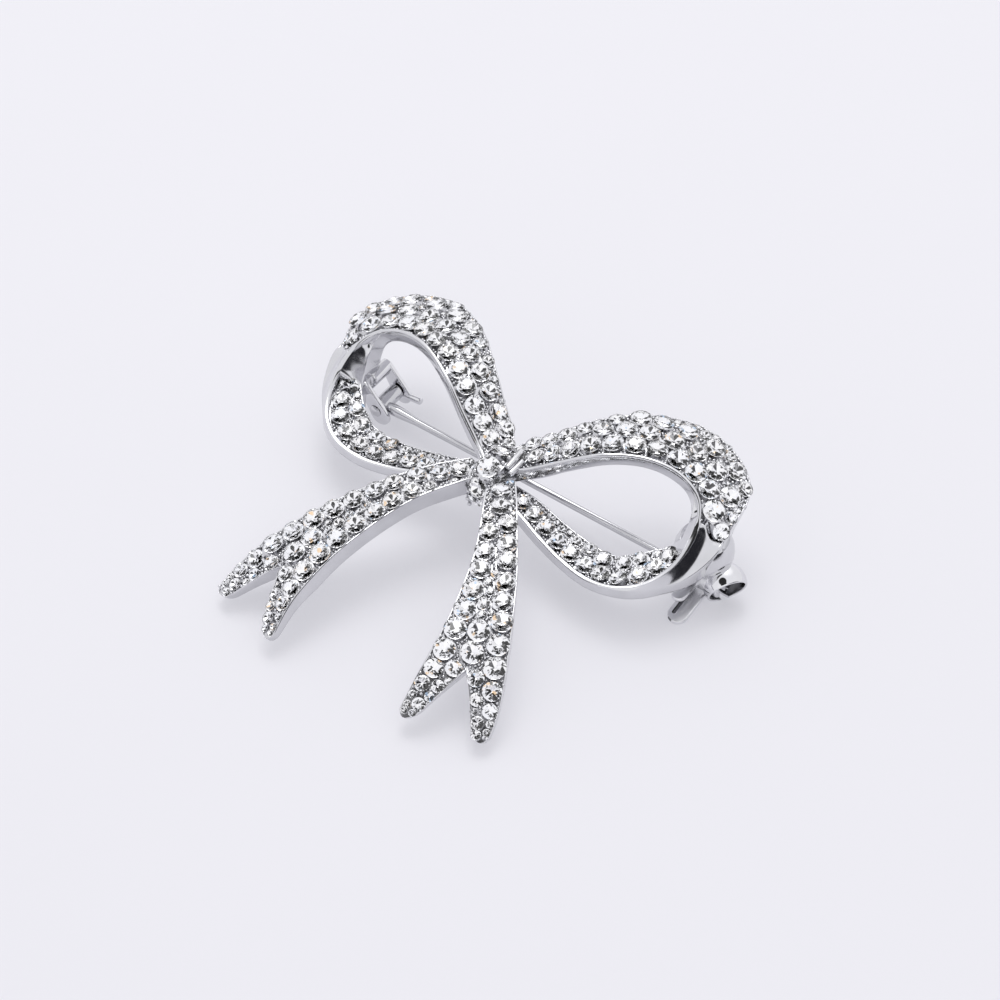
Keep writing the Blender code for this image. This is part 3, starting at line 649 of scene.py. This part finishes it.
def prong_ring(section, half, taper):
    """Return one section of half a tail: outer lip, bed, lip beside the fork, wall and back."""
    station, inner, across, out, width, thick = section
    edge, middle = prong_edges(station, width)[half]
    lift = smoothstep(NOTCH_START + FORK_RISE[0], NOTCH_START + FORK_RISE[1], station)
    centre = (edge + middle) / 2
    heading = 1 if middle > edge else -1
    reach = abs(middle - edge)

    def at(offset, height):
        place = edge + heading * offset
        return inner + across * (centre + (place - centre) * taper) + out * height

    bed = tail_bed_depth(station)
    foot = TAIL_LIP + LIP_SLOPE
    lip_drop = min(TAIL_LIP_DROP, bed - LEAST_LIP)
    fork_top = -bed + (bed - lip_drop) * lift
    points = [at(0, -lip_drop), at(TAIL_LIP, -lip_drop), at(foot, -bed), at(reach / 2, -bed),
              at(reach - foot, -bed), at(reach - TAIL_LIP, fork_top), at(reach, fork_top),
              at(reach, -thick), at(0, -thick)]
    fork_round = EDGE_ROUND * float(lift) + 1e-4
    radii = [EDGE_ROUND, 0.06, 0, 0, 0, 0.05, fork_round, fork_round, 0.3]
    return round_corners(points, radii)


def tip_tapers(sections):
    """Return the share of its width that each section keeps, which rounds the tail's ends."""
    middles = np.array([inner + across * width / 2 for _, inner, across, _, width, _ in sections])
    steps = np.linalg.norm(np.diff(middles, axis=0), axis=1)
    left = np.concatenate((np.cumsum(steps[::-1])[::-1], (0,)))
    return np.sqrt(1 - np.clip(1 - left / TIP_LENGTH, 0, 0.97) ** 2)


def refine_end(sections, extra=6):
    """Return the sections with more of them in the last step before the tip."""
    last, end = sections[-2], sections[-1]
    added = []
    for t in np.linspace(0, 1, extra + 2)[1:-1]:
        share = 1 - (1 - t) ** 2
        added.append(tuple(a + (b - a) * share for a, b in zip(last, end)))
    return sections[:-1] + added + [end]


def build_tail(bm, side):
    """Add one forked tail, as two halves that are one body above the fork."""
    sections = refine_end(tail_sections(side))
    tapers = tip_tapers(sections)
    bed_start = 2 * CORNER_STEPS
    for half in (0, 1):
        rings = [prong_ring(section, half, taper) for section, taper in zip(sections, tapers)]
        # the bed's faces get the rougher plating painted darker, as shade between the stones
        loft(bm, rings, in_bed=lambda k, i: bed_start <= i < bed_start + 2)


def build_knot(bm):
    """Add the knot's band: a ring of round-edged section, cut off flat at the back."""
    y, z = KNOT_CENTRE
    half, lip = KNOT_HALF_WIDTH, KNOT_LIP
    top = KNOT_RADIUS + lip
    right = ((half - lip, KNOT_RADIUS), (half - lip, top), (half, top), (half, 0.0))
    left = [(-x, r) for x, r in reversed(right)]
    outline = round_corners([np.array(corner) for corner in (*left, *right)], KNOT_ROUNDS)
    band = bmesh.new()
    rings = []
    for turn in np.radians(np.linspace(*KNOT_SWEEP, 60)):
        rings.append([(x, y + r * math.cos(turn), z + r * math.sin(turn)) for x, r in outline])
    loft(band, rings)
    bmesh.ops.remove_doubles(band, verts=band.verts, dist=1e-5)
    geometry = band.verts[:] + band.edges[:] + band.faces[:]
    cut = bmesh.ops.bisect_plane(band, geom=geometry, plane_co=(0, 0, 0), plane_no=(0, 0, -1),
                                 clear_outer=True)
    bmesh.ops.holes_fill(band, edges=[e for e in cut["geom_cut"] if isinstance(e, bmesh.types.BMEdge)])
    merge(bm, band)


def build_folds(bm):
    """Add the rounded folds of the ribbon that come out on the knot's right."""
    for start, end in FOLDS:
        rod(bm, start, end, FOLD_RADIUS, 0.2, 20)


def circle(x, y, radius):
    """Return the points of a circle."""
    turns = np.linspace(0, math.tau, 48, endpoint=False)
    return [(x + radius * math.cos(a), y + radius * math.sin(a)) for a in turns]


def build_pad(bm, side, profile):
    """Add the round pad behind a loop's turn that carries a finding."""
    loft(bm, [[(x, y, z) for x, y in circle(PAD_X * side, PAD_Y, radius)] for radius, z in profile])


def bed_faces(sections):
    """Return a test for the faces of a loop that lie in a bed with stones; they get the rougher plating
    painted darker as shade.
    """
    bed_start = 2 * CORNER_STEPS
    bed_end = bed_start + OUTER_POINTS - 1
    inner_start = len(loop_ring(sections[0])) - INNER_POINTS

    def in_bed(k, i):
        station = sections[k]["station"]
        outer = bed_start <= i < bed_end and SHADED_SPAN[0] < station < SHADED_SPAN[1]
        inner = i >= inner_start and station > INNER_START[1]
        return outer or inner

    return in_bed


def add_casting(plating, bed_shade_plating):
    """Add the casting: loops, forked tails, pads, knot and folds."""
    bm = bmesh.new()
    for side in (1, -1):
        sections = loop_sections(side)
        loft(bm, [loop_ring(section) for section in sections], in_bed=bed_faces(sections))
        build_tail(bm, side)
    build_pad(bm, 1, CATCH_PAD)
    build_pad(bm, -1, HINGE_PAD)
    build_knot(bm)
    build_folds(bm)
    # the second material is the rougher plating painted darker, as shade in the beds between the stones
    add_piece("casting", bm, (plating, bed_shade_plating), nodes=("bow_casting",))


# --- findings ---

def add_bracket(plating):
    """Add the hinge's bracket: a plate with a rolled fold, two ears and a small finger beside the pin."""
    y = HINGE[1]
    corners = np.array(((-1, -1), (1, -1), (1, 1), (-1, 1))) * BRACKET_HALF
    plate = round_corners(corners, [BRACKET_CORNER] * 4, 8)
    bm = bmesh.new()
    slab(bm, plate, (-PAD_X, y, BASE_Z[0]), (1, 0, 0), (0, 1, 0), BASE_Z[1] - BASE_Z[0], 0.12)
    turned(bm, rod_profile(BARREL_RADIUS, *BARREL_SPAN, 0.15), (BARREL[0], 0, BARREL[1]), (0, 1, 0))
    outline = capsule(BARREL, EAR_TIP, BARREL_RADIUS, EAR_TIP_RADIUS)
    for start in (y - EAR_GAP / 2, y + EAR_GAP / 2 + EAR_THICK):
        slab(bm, outline, (0, start, 0), (1, 0, 0), (0, 0, 1), EAR_THICK, 0.14)
    rod(bm, FINGER_START, FINGER_END, FINGER_RADIUS, 0.15, 24)
    add_piece("hinge_bracket_formed", bm, (plating,), nodes=("hinge_bracket",))


def add_rivet(wire):
    """Add the rivet through the ears, with a domed head on each end."""
    shank = EAR_GAP / 2 + EAR_THICK + RIVET_CLEARANCE
    head = [(radius, shank + height) for radius, height in RIVET_HEAD] + [(RIVET_RADIUS, shank)]
    bm = bmesh.new()
    turned(bm, head + [(r, -h) for r, h in reversed(head)], HINGE, (0, 1, 0), 32)
    add_piece("hinge_rivet_formed", bm, (wire,), nodes=("hinge_rivet",))


def add_pin(wire):
    """Add the pin: a bored knuckle and a pointed stem."""
    bm = bmesh.new()
    knuckle = rod_profile(KNUCKLE_RADIUS, -KNUCKLE_HALF, KNUCKLE_HALF, 0.15)
    knuckle += [(KNUCKLE_BORE, KNUCKLE_HALF), (KNUCKLE_BORE, -KNUCKLE_HALF)]
    turned(bm, knuckle, HINGE, (0, 1, 0), closed=True)
    start, end = np.array(STEM_START), np.array(STEM_END)
    length = np.linalg.norm(end - start)
    turned(bm, [(radius, share * length) for share, radius in STEM_GIRTHS], start, end - start, 24)
    add_piece("pin_with_knuckle", bm, (wire,), body="pin", nodes=("pin_stem",))


def bulb_profile():
    """Return the closed profile of the bulb's shell, with a rounded rim."""
    end = math.acos(-BULB_OPENING / BULB_RADIUS)
    inner, middle = BULB_RADIUS - BULB_WALL, BULB_RADIUS - BULB_WALL / 2

    def arc(radius, turns):
        return [(max(0.01, radius * math.sin(t)), -radius * math.cos(t)) for t in turns]

    rim = []
    for t in np.linspace(0, math.pi, 7)[1:-1]:
        reach = middle + BULB_WALL / 2 * math.cos(t)
        rim.append((reach * math.sin(end), BULB_OPENING + BULB_WALL / 2 * math.sin(t)))
    return arc(BULB_RADIUS, np.linspace(0, end, 30)) + rim + arc(inner, np.linspace(end, 0, 30))


def slot_block(half_width):
    """Return a block that cuts the slot for the pin, below the sleeve's axis."""
    low = (CUT_LOW[0], SLEEVE_AXIS[1] - half_width, CUT_LOW[2])
    return block(low, (CUT_HIGH[0], SLEEVE_AXIS[1] + half_width, SLEEVE_AXIS[2]))


def add_catch(plating, painted_shade_metal):
    """Add the catch: a round base and a bulb-shaped shell, open in front and slotted below."""
    bm = bmesh.new()
    base = circle(0, 0, BASE_RADIUS)
    slab(bm, base, (PAD_X, PAD_Y, BASE_Z[0]), (1, 0, 0), (0, 1, 0), BASE_Z[1] - BASE_Z[0], 0.14)
    shell = bmesh.new()
    turned(shell, bulb_profile(), BULB_CENTRE, BULB_FACING, 72)
    shell = cut_away(shell, block(CUT_LOW, (BULB_START, *CUT_HIGH[1:])))
    bore = bmesh.new()
    radius = SLEEVE_RADIUS + SLEEVE_CLEARANCE
    turned(bore, ((radius, SLEEVE_X[0]), (radius, SLEEVE_X[1] + SLEEVE_SEAT)), SLEEVE_AXIS, (1, 0, 0))
    merge(bm, cut_away(cut_away(shell, bore), slot_block(BULB_SLOT_HALF)))
    # faces deep in the bulb, below the base, get the near-black metal: painted shade in its hollow
    for face in bm.faces:
        middle = face.calc_center_median()
        inside = (middle - Vector(BULB_CENTRE)).length < BULB_RADIUS - 0.7 * BULB_WALL
        face.material_index = int(inside and middle.z < BASE_Z[0])
    add_piece("catch_bulb", bm, (plating, painted_shade_metal), nodes=("catch_housing",))


def tab_plate(x_low, x_high, y_tip, z_tip, z_root):
    """Return a bmesh of a round-ended tab, the place of its root, its direction and its length."""
    radius = (x_high - x_low) / 2
    root, tip = np.array((0, TAB_ROOT_Y, z_root)), np.array((0, y_tip, z_tip))
    reach = np.linalg.norm(tip - root)
    along = (tip - root) / reach
    origin = root + np.array(((x_low + x_high) / 2, 0, 0))
    outline = capsule((0, 0), (0, reach - radius), radius, radius)
    bm = bmesh.new()
    slab(bm, outline, origin, (1, 0, 0), along, TAB_THICK, 0.16)
    return bm, origin, along, reach


def grooved_tab():
    """Return a bmesh of the long tab with a groove along its face, painted dark as shade."""
    tab, origin, along, reach = tab_plate(*LONG_TAB)
    depth_axis = np.cross((1, 0, 0), along)
    outline = capsule((GROOVE_X, GROOVE_ENDS[0]), (GROOVE_X, reach - GROOVE_ENDS[1]), *GROOVE_RADII)
    groove = bmesh.new()
    slab(groove, outline, origin - depth_axis * GROOVE_DEPTH, (1, 0, 0), along, TAB_THICK, 0.1)
    tab = cut_away(tab, groove)
    # faces sunk in the groove get the near-black metal: painted shade
    for face in tab.faces:
        place = np.array(face.calc_center_median()) - origin
        sunk = 0.03 < place @ depth_axis < 0.3
        face.material_index = int(sunk and abs(place[0] - GROOVE_X) < 0.24)
    return tab


def add_sleeve(plating, painted_shade_metal):
    """Add the turning sleeve: a slotted tube with two round-ended tabs, the longer one grooved."""
    low, high = SLEEVE_X
    outline = rod_profile(SLEEVE_RADIUS, low, high, 0.12) + [(SLEEVE_BORE, high), (SLEEVE_BORE, low)]
    tube = bmesh.new()
    turned(tube, outline, SLEEVE_AXIS, (1, 0, 0), 48, closed=True)
    bm = bmesh.new()
    merge(bm, cut_away(tube, slot_block(SLOT_HALF)), grooved_tab(), tab_plate(*SHORT_TAB)[0])
    add_piece("catch_sleeve_formed", bm, (plating, painted_shade_metal), body="sleeve", nodes=("catch_sleeve",))


# --- stones ---

# What stones are set with: shapes, materials and random draws.
Kit = namedtuple("Kit", "stone bead glass plating randomness")


def stone_shape():
    """Return the points, faces and material numbers of a cut stone of radius 1, its girdle at height 0."""
    def ring(count, radius, height, phase=0.0):
        turns = (np.arange(count) + phase) * math.tau / count
        return [(radius * math.cos(a), radius * math.sin(a), height) for a in turns]

    points = ring(8, TABLE_RADIUS, CROWN_HEIGHT)
    points += ring(8, 0.79, CROWN_HEIGHT * 0.57, 0.5)
    points += ring(16, 1.0, GIRDLE_HALF)
    points += ring(16, 1.0, -GIRDLE_HALF)
    points += ring(8, 0.5, -0.25, 0.5)
    points.append((0, 0, -PAVILION_DEPTH))
    table, star, top, bottom, pavilion, culet = 0, 8, 16, 32, 48, 56  # first point of each ring
    crown, below = [tuple(range(table, table + 8))], []
    for i in range(8):
        after, before = (i + 1) % 8, (i - 1) % 8
        a, b, c = 2 * i, 2 * i + 1, (2 * i + 2) % 16
        crown += [(table + i, star + i, table + after), (table + i, star + before, top + a, star + i),
                  (star + i, top + a, top + b), (star + i, top + b, top + c)]
        below += [(bottom + a, pavilion + before, culet, pavilion + i),
                  (bottom + b, bottom + a, pavilion + i), (bottom + c, bottom + b, pavilion + i)]
    girdle = [(top + i, bottom + i, bottom + (i + 1) % 16, top + (i + 1) % 16) for i in range(16)]
    faces = crown + girdle + below
    return np.array(points), faces, [0] * (len(faces) - len(below)) + [1] * len(below)


def bead_shape():
    """Return the points, faces and material numbers of a bead of radius 1."""
    bm = bmesh.new()
    bmesh.ops.create_icosphere(bm, subdivisions=2, radius=1.0)
    points = np.array([v.co for v in bm.verts])
    faces = [tuple(v.index for v in f.verts) for f in bm.faces]
    bm.free()
    return points, faces, [0] * len(faces)


def scatter(name, shape, placed, lift, randomness, materials, nodes=(), sharp_angle=None):
    """Add a piece of copies of a shape, one at each circle, turned and leant at random."""
    points, faces, numbers = shape
    all_points, all_faces, all_numbers = [], [], []
    for point, normal, radius in placed:
        spin = randomness.uniform(0, math.tau)
        normal = unit(normal + np.array([randomness.gauss(0, STONE_LEAN) for _ in range(3)]))
        side = unit(np.cross(normal, (math.cos(spin), math.sin(spin), 0.1)))
        basis = np.array((side, np.cross(normal, side), normal))
        start = len(all_points) * len(points)
        all_points.append(points @ basis * radius + point + normal * lift(radius))
        all_faces += [tuple(start + i for i in face) for face in faces]
        all_numbers += numbers
    mesh = bpy.data.meshes.new("copies")
    mesh.from_pydata(np.vstack(all_points).tolist(), [], all_faces)
    mesh.polygons.foreach_set("material_index", all_numbers)
    bm = bmesh.new()
    bm.from_mesh(mesh)
    bpy.data.meshes.remove(mesh)
    add_piece(name, bm, materials, nodes=nodes, sharp_angle=sharp_angle)


class Bed:
    """A bed to pave: a grid of points with their normals and the room on both sides of each."""

    def __init__(self, points, room_near, room_far):
        self.points = points
        self.room_near = room_near
        self.room_far = room_far
        along, across = np.gradient(points, axis=(0, 1))
        self.normals = unit(np.cross(across, along))
        self.normals *= np.sign(self.normals[..., 2:] + TINY)
        self.taken_points = np.zeros((0, 3))
        self.taken_radii = np.zeros(0)

    def place(self, u, v, radius, gap, near_share, far_share):
        """Return a list of the circle taken at a grid point, empty where it doesn't fit."""
        if self.room_near[u, v] < radius * near_share or self.room_far[u, v] < radius * far_share:
            return []
        point = self.points[u, v]
        if (np.linalg.norm(self.taken_points - point, axis=1) < self.taken_radii + radius + gap).any():
            return []
        self.taken_points = np.vstack((self.taken_points, point))
        self.taken_radii = np.append(self.taken_radii, radius)
        return [(point, self.normals[u, v], radius)]

    def fill(self, radius, gap, overhang, columns=None):
        """Return circles placed wherever they fit. The radius is one value, or one for each row."""
        placed = []
        for v in range(self.points.shape[1]) if columns is None else columns:
            for u, size in enumerate(np.broadcast_to(radius, len(self.points))):
                placed += self.place(u, v, size, gap, 1.0, overhang)
        return placed


def loop_bed(side, bed, first, last, widest):
    """Return a loop's outer or inner bed over the given stations."""
    sections = [s for s in loop_sections(side, BED_STEPS) if first <= s["station"] <= last]
    offsets = np.arange(0, widest, GRID)
    at = outer_bed if bed == "outer" else inner_bed
    points = np.array([[at(s, a) for a in offsets] for s in sections])
    widths = np.array([s[bed] for s in sections])[:, None]
    room_near = np.tile(offsets, (len(sections), 1))
    if bed == "outer":
        bare = [CLOSING * (s["station"] - BED_END[0] + EARLY_END) for s in sections]
        room_near -= np.clip(bare, 0, None)[:, None]
    return Bed(points, room_near, widths - offsets)


def add_stones(name, placed, kit, nodes=()):
    """Add a piece of cut stones."""
    scatter(name, kit.stone, placed, lambda radius: STONE_LIFT * radius, kit.randomness, kit.glass,
            nodes)


def add_beads(name, placed, kit, lift):
    """Add a piece of beads."""
    scatter(name, kit.bead, placed, lambda radius: lift, kit.randomness, [kit.plating],
            sharp_angle=180)


def add_rows(rows, band, label, kit):
    """Add one piece of stones for each row of a band."""
    for row, placed in rows.items():
        add_stones(f"rhinestones_{band}_{row}_{label}", placed, kit, (f"stones_{band}_{row}_{label}",))


def fine_fill(bed, label, overhang, kit):
    """Fill what is left of a bed with small stones and beads."""
    small = []
    for radius in SMALL_RADII:
        small += bed.fill(radius, SMALL_GAP, overhang)
    if small:
        add_stones(f"small_stones_{label}", small, kit)
    beads = bed.fill(BEAD_RADIUS, 0.0, BEAD_ROOM) + bed.fill(BEAD_RADIUS * SMALL_BEAD, SMALL_GAP, BEAD_ROOM)
    if beads:
        add_beads(f"beads_{label}", beads, kit, BEAD_LIFT)


def pave_loop(side, label, kit):
    """Set a loop's upper band from its rim outwards, and its lower band from its rim inwards."""
    for band, bed_name, last, widest, names, lengths, shares in BANDS:
        bed = loop_bed(side, bed_name, FIRST_STONE[band][side], last, widest)
        count, columns = bed.points.shape[:2]
        sizes = STONE_RADIUS * np.interp(np.arange(count) / count, lengths, shares)
        rows = {name: [] for name in names}
        for k, place in enumerate(ROW_PLACES):
            column = math.ceil(place * sizes.max() / GRID)
            if column < columns:
                rows[names[min(k, len(names) - 1)]] += bed.fill(sizes, LOOP_GAP, LOOP_ROOM, (column,))
        add_rows(rows, band, label, kit)
        fine_fill(bed, f"{band}_{label}", LOOP_ROOM, kit)


def tail_bed(side):
    """Return the tail's bed, with its room measured to the lips and to the fork."""
    sections = tail_sections(side)
    widest = max(section[4] for section in sections)
    offsets = np.arange(0, widest, GRID)
    points = np.array([[inner + across * a - out * tail_bed_depth(station) for a in offsets]
                       for station, inner, across, out, _, _ in sections])
    near, far = [], []
    for station, _, _, _, width, _ in sections:
        (_, inner_end), (_, outer_end) = prong_edges(station, width)
        forked = station > NOTCH_START + FORK_START
        on_inner = offsets < (inner_end + outer_end) / 2
        near.append(np.where(forked & ~on_inner, offsets - outer_end, offsets))
        far.append(np.where(forked & on_inner, inner_end - offsets, width - offsets))
        if station > LAST_STATION:
            near[-1] -= widest
    return Bed(points, np.array(near), np.array(far))


def pave_tail(side, label, kit):
    """Set a tail: a row along each edge, a middle row down to the fork, and small stones between."""
    bed = tail_bed(side)
    count, columns = bed.points.shape[:2]
    sizes = STONE_RADIUS * np.interp(np.arange(count) / TAIL_STEPS, *zip(*TAIL_SIZES))
    widths = np.array([section[4] for section in tail_sections(side)])
    offsets = {"outer": widths - sizes - ROW_INSET, "inner": sizes + ROW_INSET, "middle": widths / 2}
    rows = {"middle": [], "outer": [], "inner": []}
    for row, first, last in TAIL_SPANS:
        end = count if last is None else round(last * TAIL_STEPS)
        for u in range(round(first * TAIL_STEPS), end):
            v = round(offsets[row][u] / GRID)
            if 0 <= v < columns:
                rows[row] += bed.place(u, v, sizes[u], TAIL_GAP, TAIL_ROOM, TAIL_ROOM)
    add_rows(rows, "tail", label, kit)
    fine_fill(bed, f"tail_{label}", 1.0, kit)


def knot_place(x, turn):
    """Return a point on the knot's band and the direction out of it."""
    out = np.array((0.0, math.cos(math.radians(turn)), math.sin(math.radians(turn))))
    return np.array((x, *KNOT_CENTRE)) + out * KNOT_RADIUS, out


def pave_knot(kit):
    """Set the column of stones over the knot, with beads along both sides."""
    stones = [(*knot_place(x, turn), radius) for x, turn, radius in KNOT_STONES]
    beads = [(*knot_place(x, turn), KNOT_BEAD_RADIUS)
             for turn in KNOT_BEAD_TURNS for x in (-KNOT_BEAD_X, KNOT_BEAD_X)]
    add_stones("rhinestones_knot", stones, kit, ("stones_knot",))
    add_beads("beads_knot", beads, kit, KNOT_BEAD_LIFT)


# --- stage and view ---

def add_world():
    """Light the studio: a pale surround with two bright fields and two dark cards."""
    world = bpy.data.worlds.new("studio")
    bpy.context.scene.world = world
    nodes = Nodes(world, "Background")
    direction = nodes.add("ShaderNodeTexCoord")
    colour = (nodes.add("ShaderNodeRGB"), "Color")
    colour[0].outputs[0].default_value = (*SURROUND, 1)
    for heading, low, high, value in PATCHES:
        dot = nodes.add("ShaderNodeVectorMath", operation="DOT_PRODUCT")
        dot.inputs[1].default_value = Vector(heading).normalized()
        nodes.link(direction, "Generated", dot, 0)
        span = nodes.add("ShaderNodeMapRange", interpolation_type="SMOOTHSTEP", From_Min=low, From_Max=high)
        nodes.link(dot, "Value", span, "Value")
        mix = nodes.add("ShaderNodeMix", data_type="RGBA", B=(*value, 1))
        nodes.link(span, "Result", mix, "Factor")
        nodes.link(*colour, mix, "A")
        colour = (mix, "Result")
    nodes.link(*colour, nodes.shader, "Color")
    nodes.set(Strength=1.0)


def floor_paper():
    """Return the pale paper of the floor, which glows a little."""
    nodes = Nodes(bpy.data.materials.new("floor_paper"))
    nodes.tint(nodes.noise(0.02), ((0.3, (0.375, 0.37, 0.385)), (0.7, (0.38, 0.375, 0.39))))
    nodes.set(Emission_Color=(0.93, 0.93, 1.0, 1), Emission_Strength=0.42, Roughness=0.7)
    return nodes.owner


def add_floor():
    """Add the floor. It falls as the pin or the sleeve turns, to stay below them."""
    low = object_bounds()[0][2]
    bpy.ops.mesh.primitive_plane_add(size=4.0, location=(0, 0, low - FLOOR_GAP * MM))
    floor = bpy.context.object
    floor.name = "floor"
    floor.data.materials.append(floor_paper())
    for body, axis, drop in FLOOR_DROPS:
        clearance = floor.constraints.new("TRANSFORM")
        clearance.target = frame["bodies"][body]
        clearance.map_from = "ROTATION"
        clearance.from_rotation_mode = f"SWING_TWIST_{axis}"
        setattr(clearance, f"from_max_{axis.lower()}_rot", FLOOR_DROP_TURN)
        clearance.map_to = "LOCATION"
        clearance.map_to_z_from = axis
        clearance.to_max_z = -drop * MM


def add_facing(name, data, place, back):
    """Link an object at a place in metres, turned to look against the direction back."""
    obj = bpy.data.objects.new(name, data)
    obj.location = place
    obj.rotation_euler = back.to_track_quat("Z", "Y").to_euler()
    bpy.context.scene.collection.objects.link(obj)
    return obj


def add_light(name, heading, distance, size, energy):
    """Add a square area light that faces the brooch."""
    light = bpy.data.lights.new(name, "AREA")
    light.size = size
    light.energy = energy
    direction = Vector(heading).normalized()
    add_facing(name, light, direction * distance, direction)


def add_camera():
    """Set the camera, above the tails and to the right."""
    camera = bpy.data.cameras.new("camera")
    camera.sensor_width = CAMERA_SENSOR
    camera.lens = CAMERA_LENS
    camera.clip_start = 0.01
    reach = math.cos(CAMERA_ELEVATION)
    back = Vector((math.sin(CAMERA_AZIMUTH) * reach, -math.cos(CAMERA_AZIMUTH) * reach,
                   math.sin(CAMERA_ELEVATION)))
    place = Vector(CAMERA_TARGET) * MM + back * CAMERA_DISTANCE
    bpy.context.scene.camera = add_facing("camera", camera, place, back)


def main():
    """Make the looks, piece by piece, and then the stage."""
    plating = metal("rhodium_plating", (0.70, 0.70, 0.72), 0.12, 0.2)
    wire = metal("polished_wire", (0.60, 0.60, 0.62), 0.10, 0.1)
    findings = metal("findings_plating", (0.76, 0.76, 0.78), 0.06, 0.1)
    satin = metal("sleeve_plating", (0.84, 0.84, 0.86), 0.32, 0.05)
    # near-black metal: painted shade inside the catch's bulb and in the long tab's groove
    painted_shade_metal = metal("catch_hollow", (0.16, 0.16, 0.17), 0.2, 0.1)
    # rougher plating, painted darker as shade in the beds between the stones
    bed_shade_plating = metal("plating_painted_shade_between_stones", (0.64, 0.64, 0.66), 0.22, 0.2)
    kit = Kit(stone_shape(), bead_shape(), [crystal_glass(), foil()], plating, random.Random(5))
    for name, node in frame["nodes"].items():
        node.data.materials.clear()
        node.data.materials.append(wire if name in ("pin_stem", "hinge_rivet") else plating)
    add_casting(plating, bed_shade_plating)
    add_bracket(findings)
    add_rivet(wire)
    add_pin(wire)
    add_catch(findings, painted_shade_metal)
    add_sleeve(satin, painted_shade_metal)
    for side, label in ((1, "right"), (-1, "left")):
        pave_loop(side, label, kit)
        pave_tail(side, label, kit)
    pave_knot(kit)
    add_world()
    add_floor()
    add_light("key", (-0.3, 0.4, 1.0), distance=0.6, size=0.3, energy=1.1)
    add_camera()
    bpy.context.scene.view_settings.view_transform = "Standard"


main()
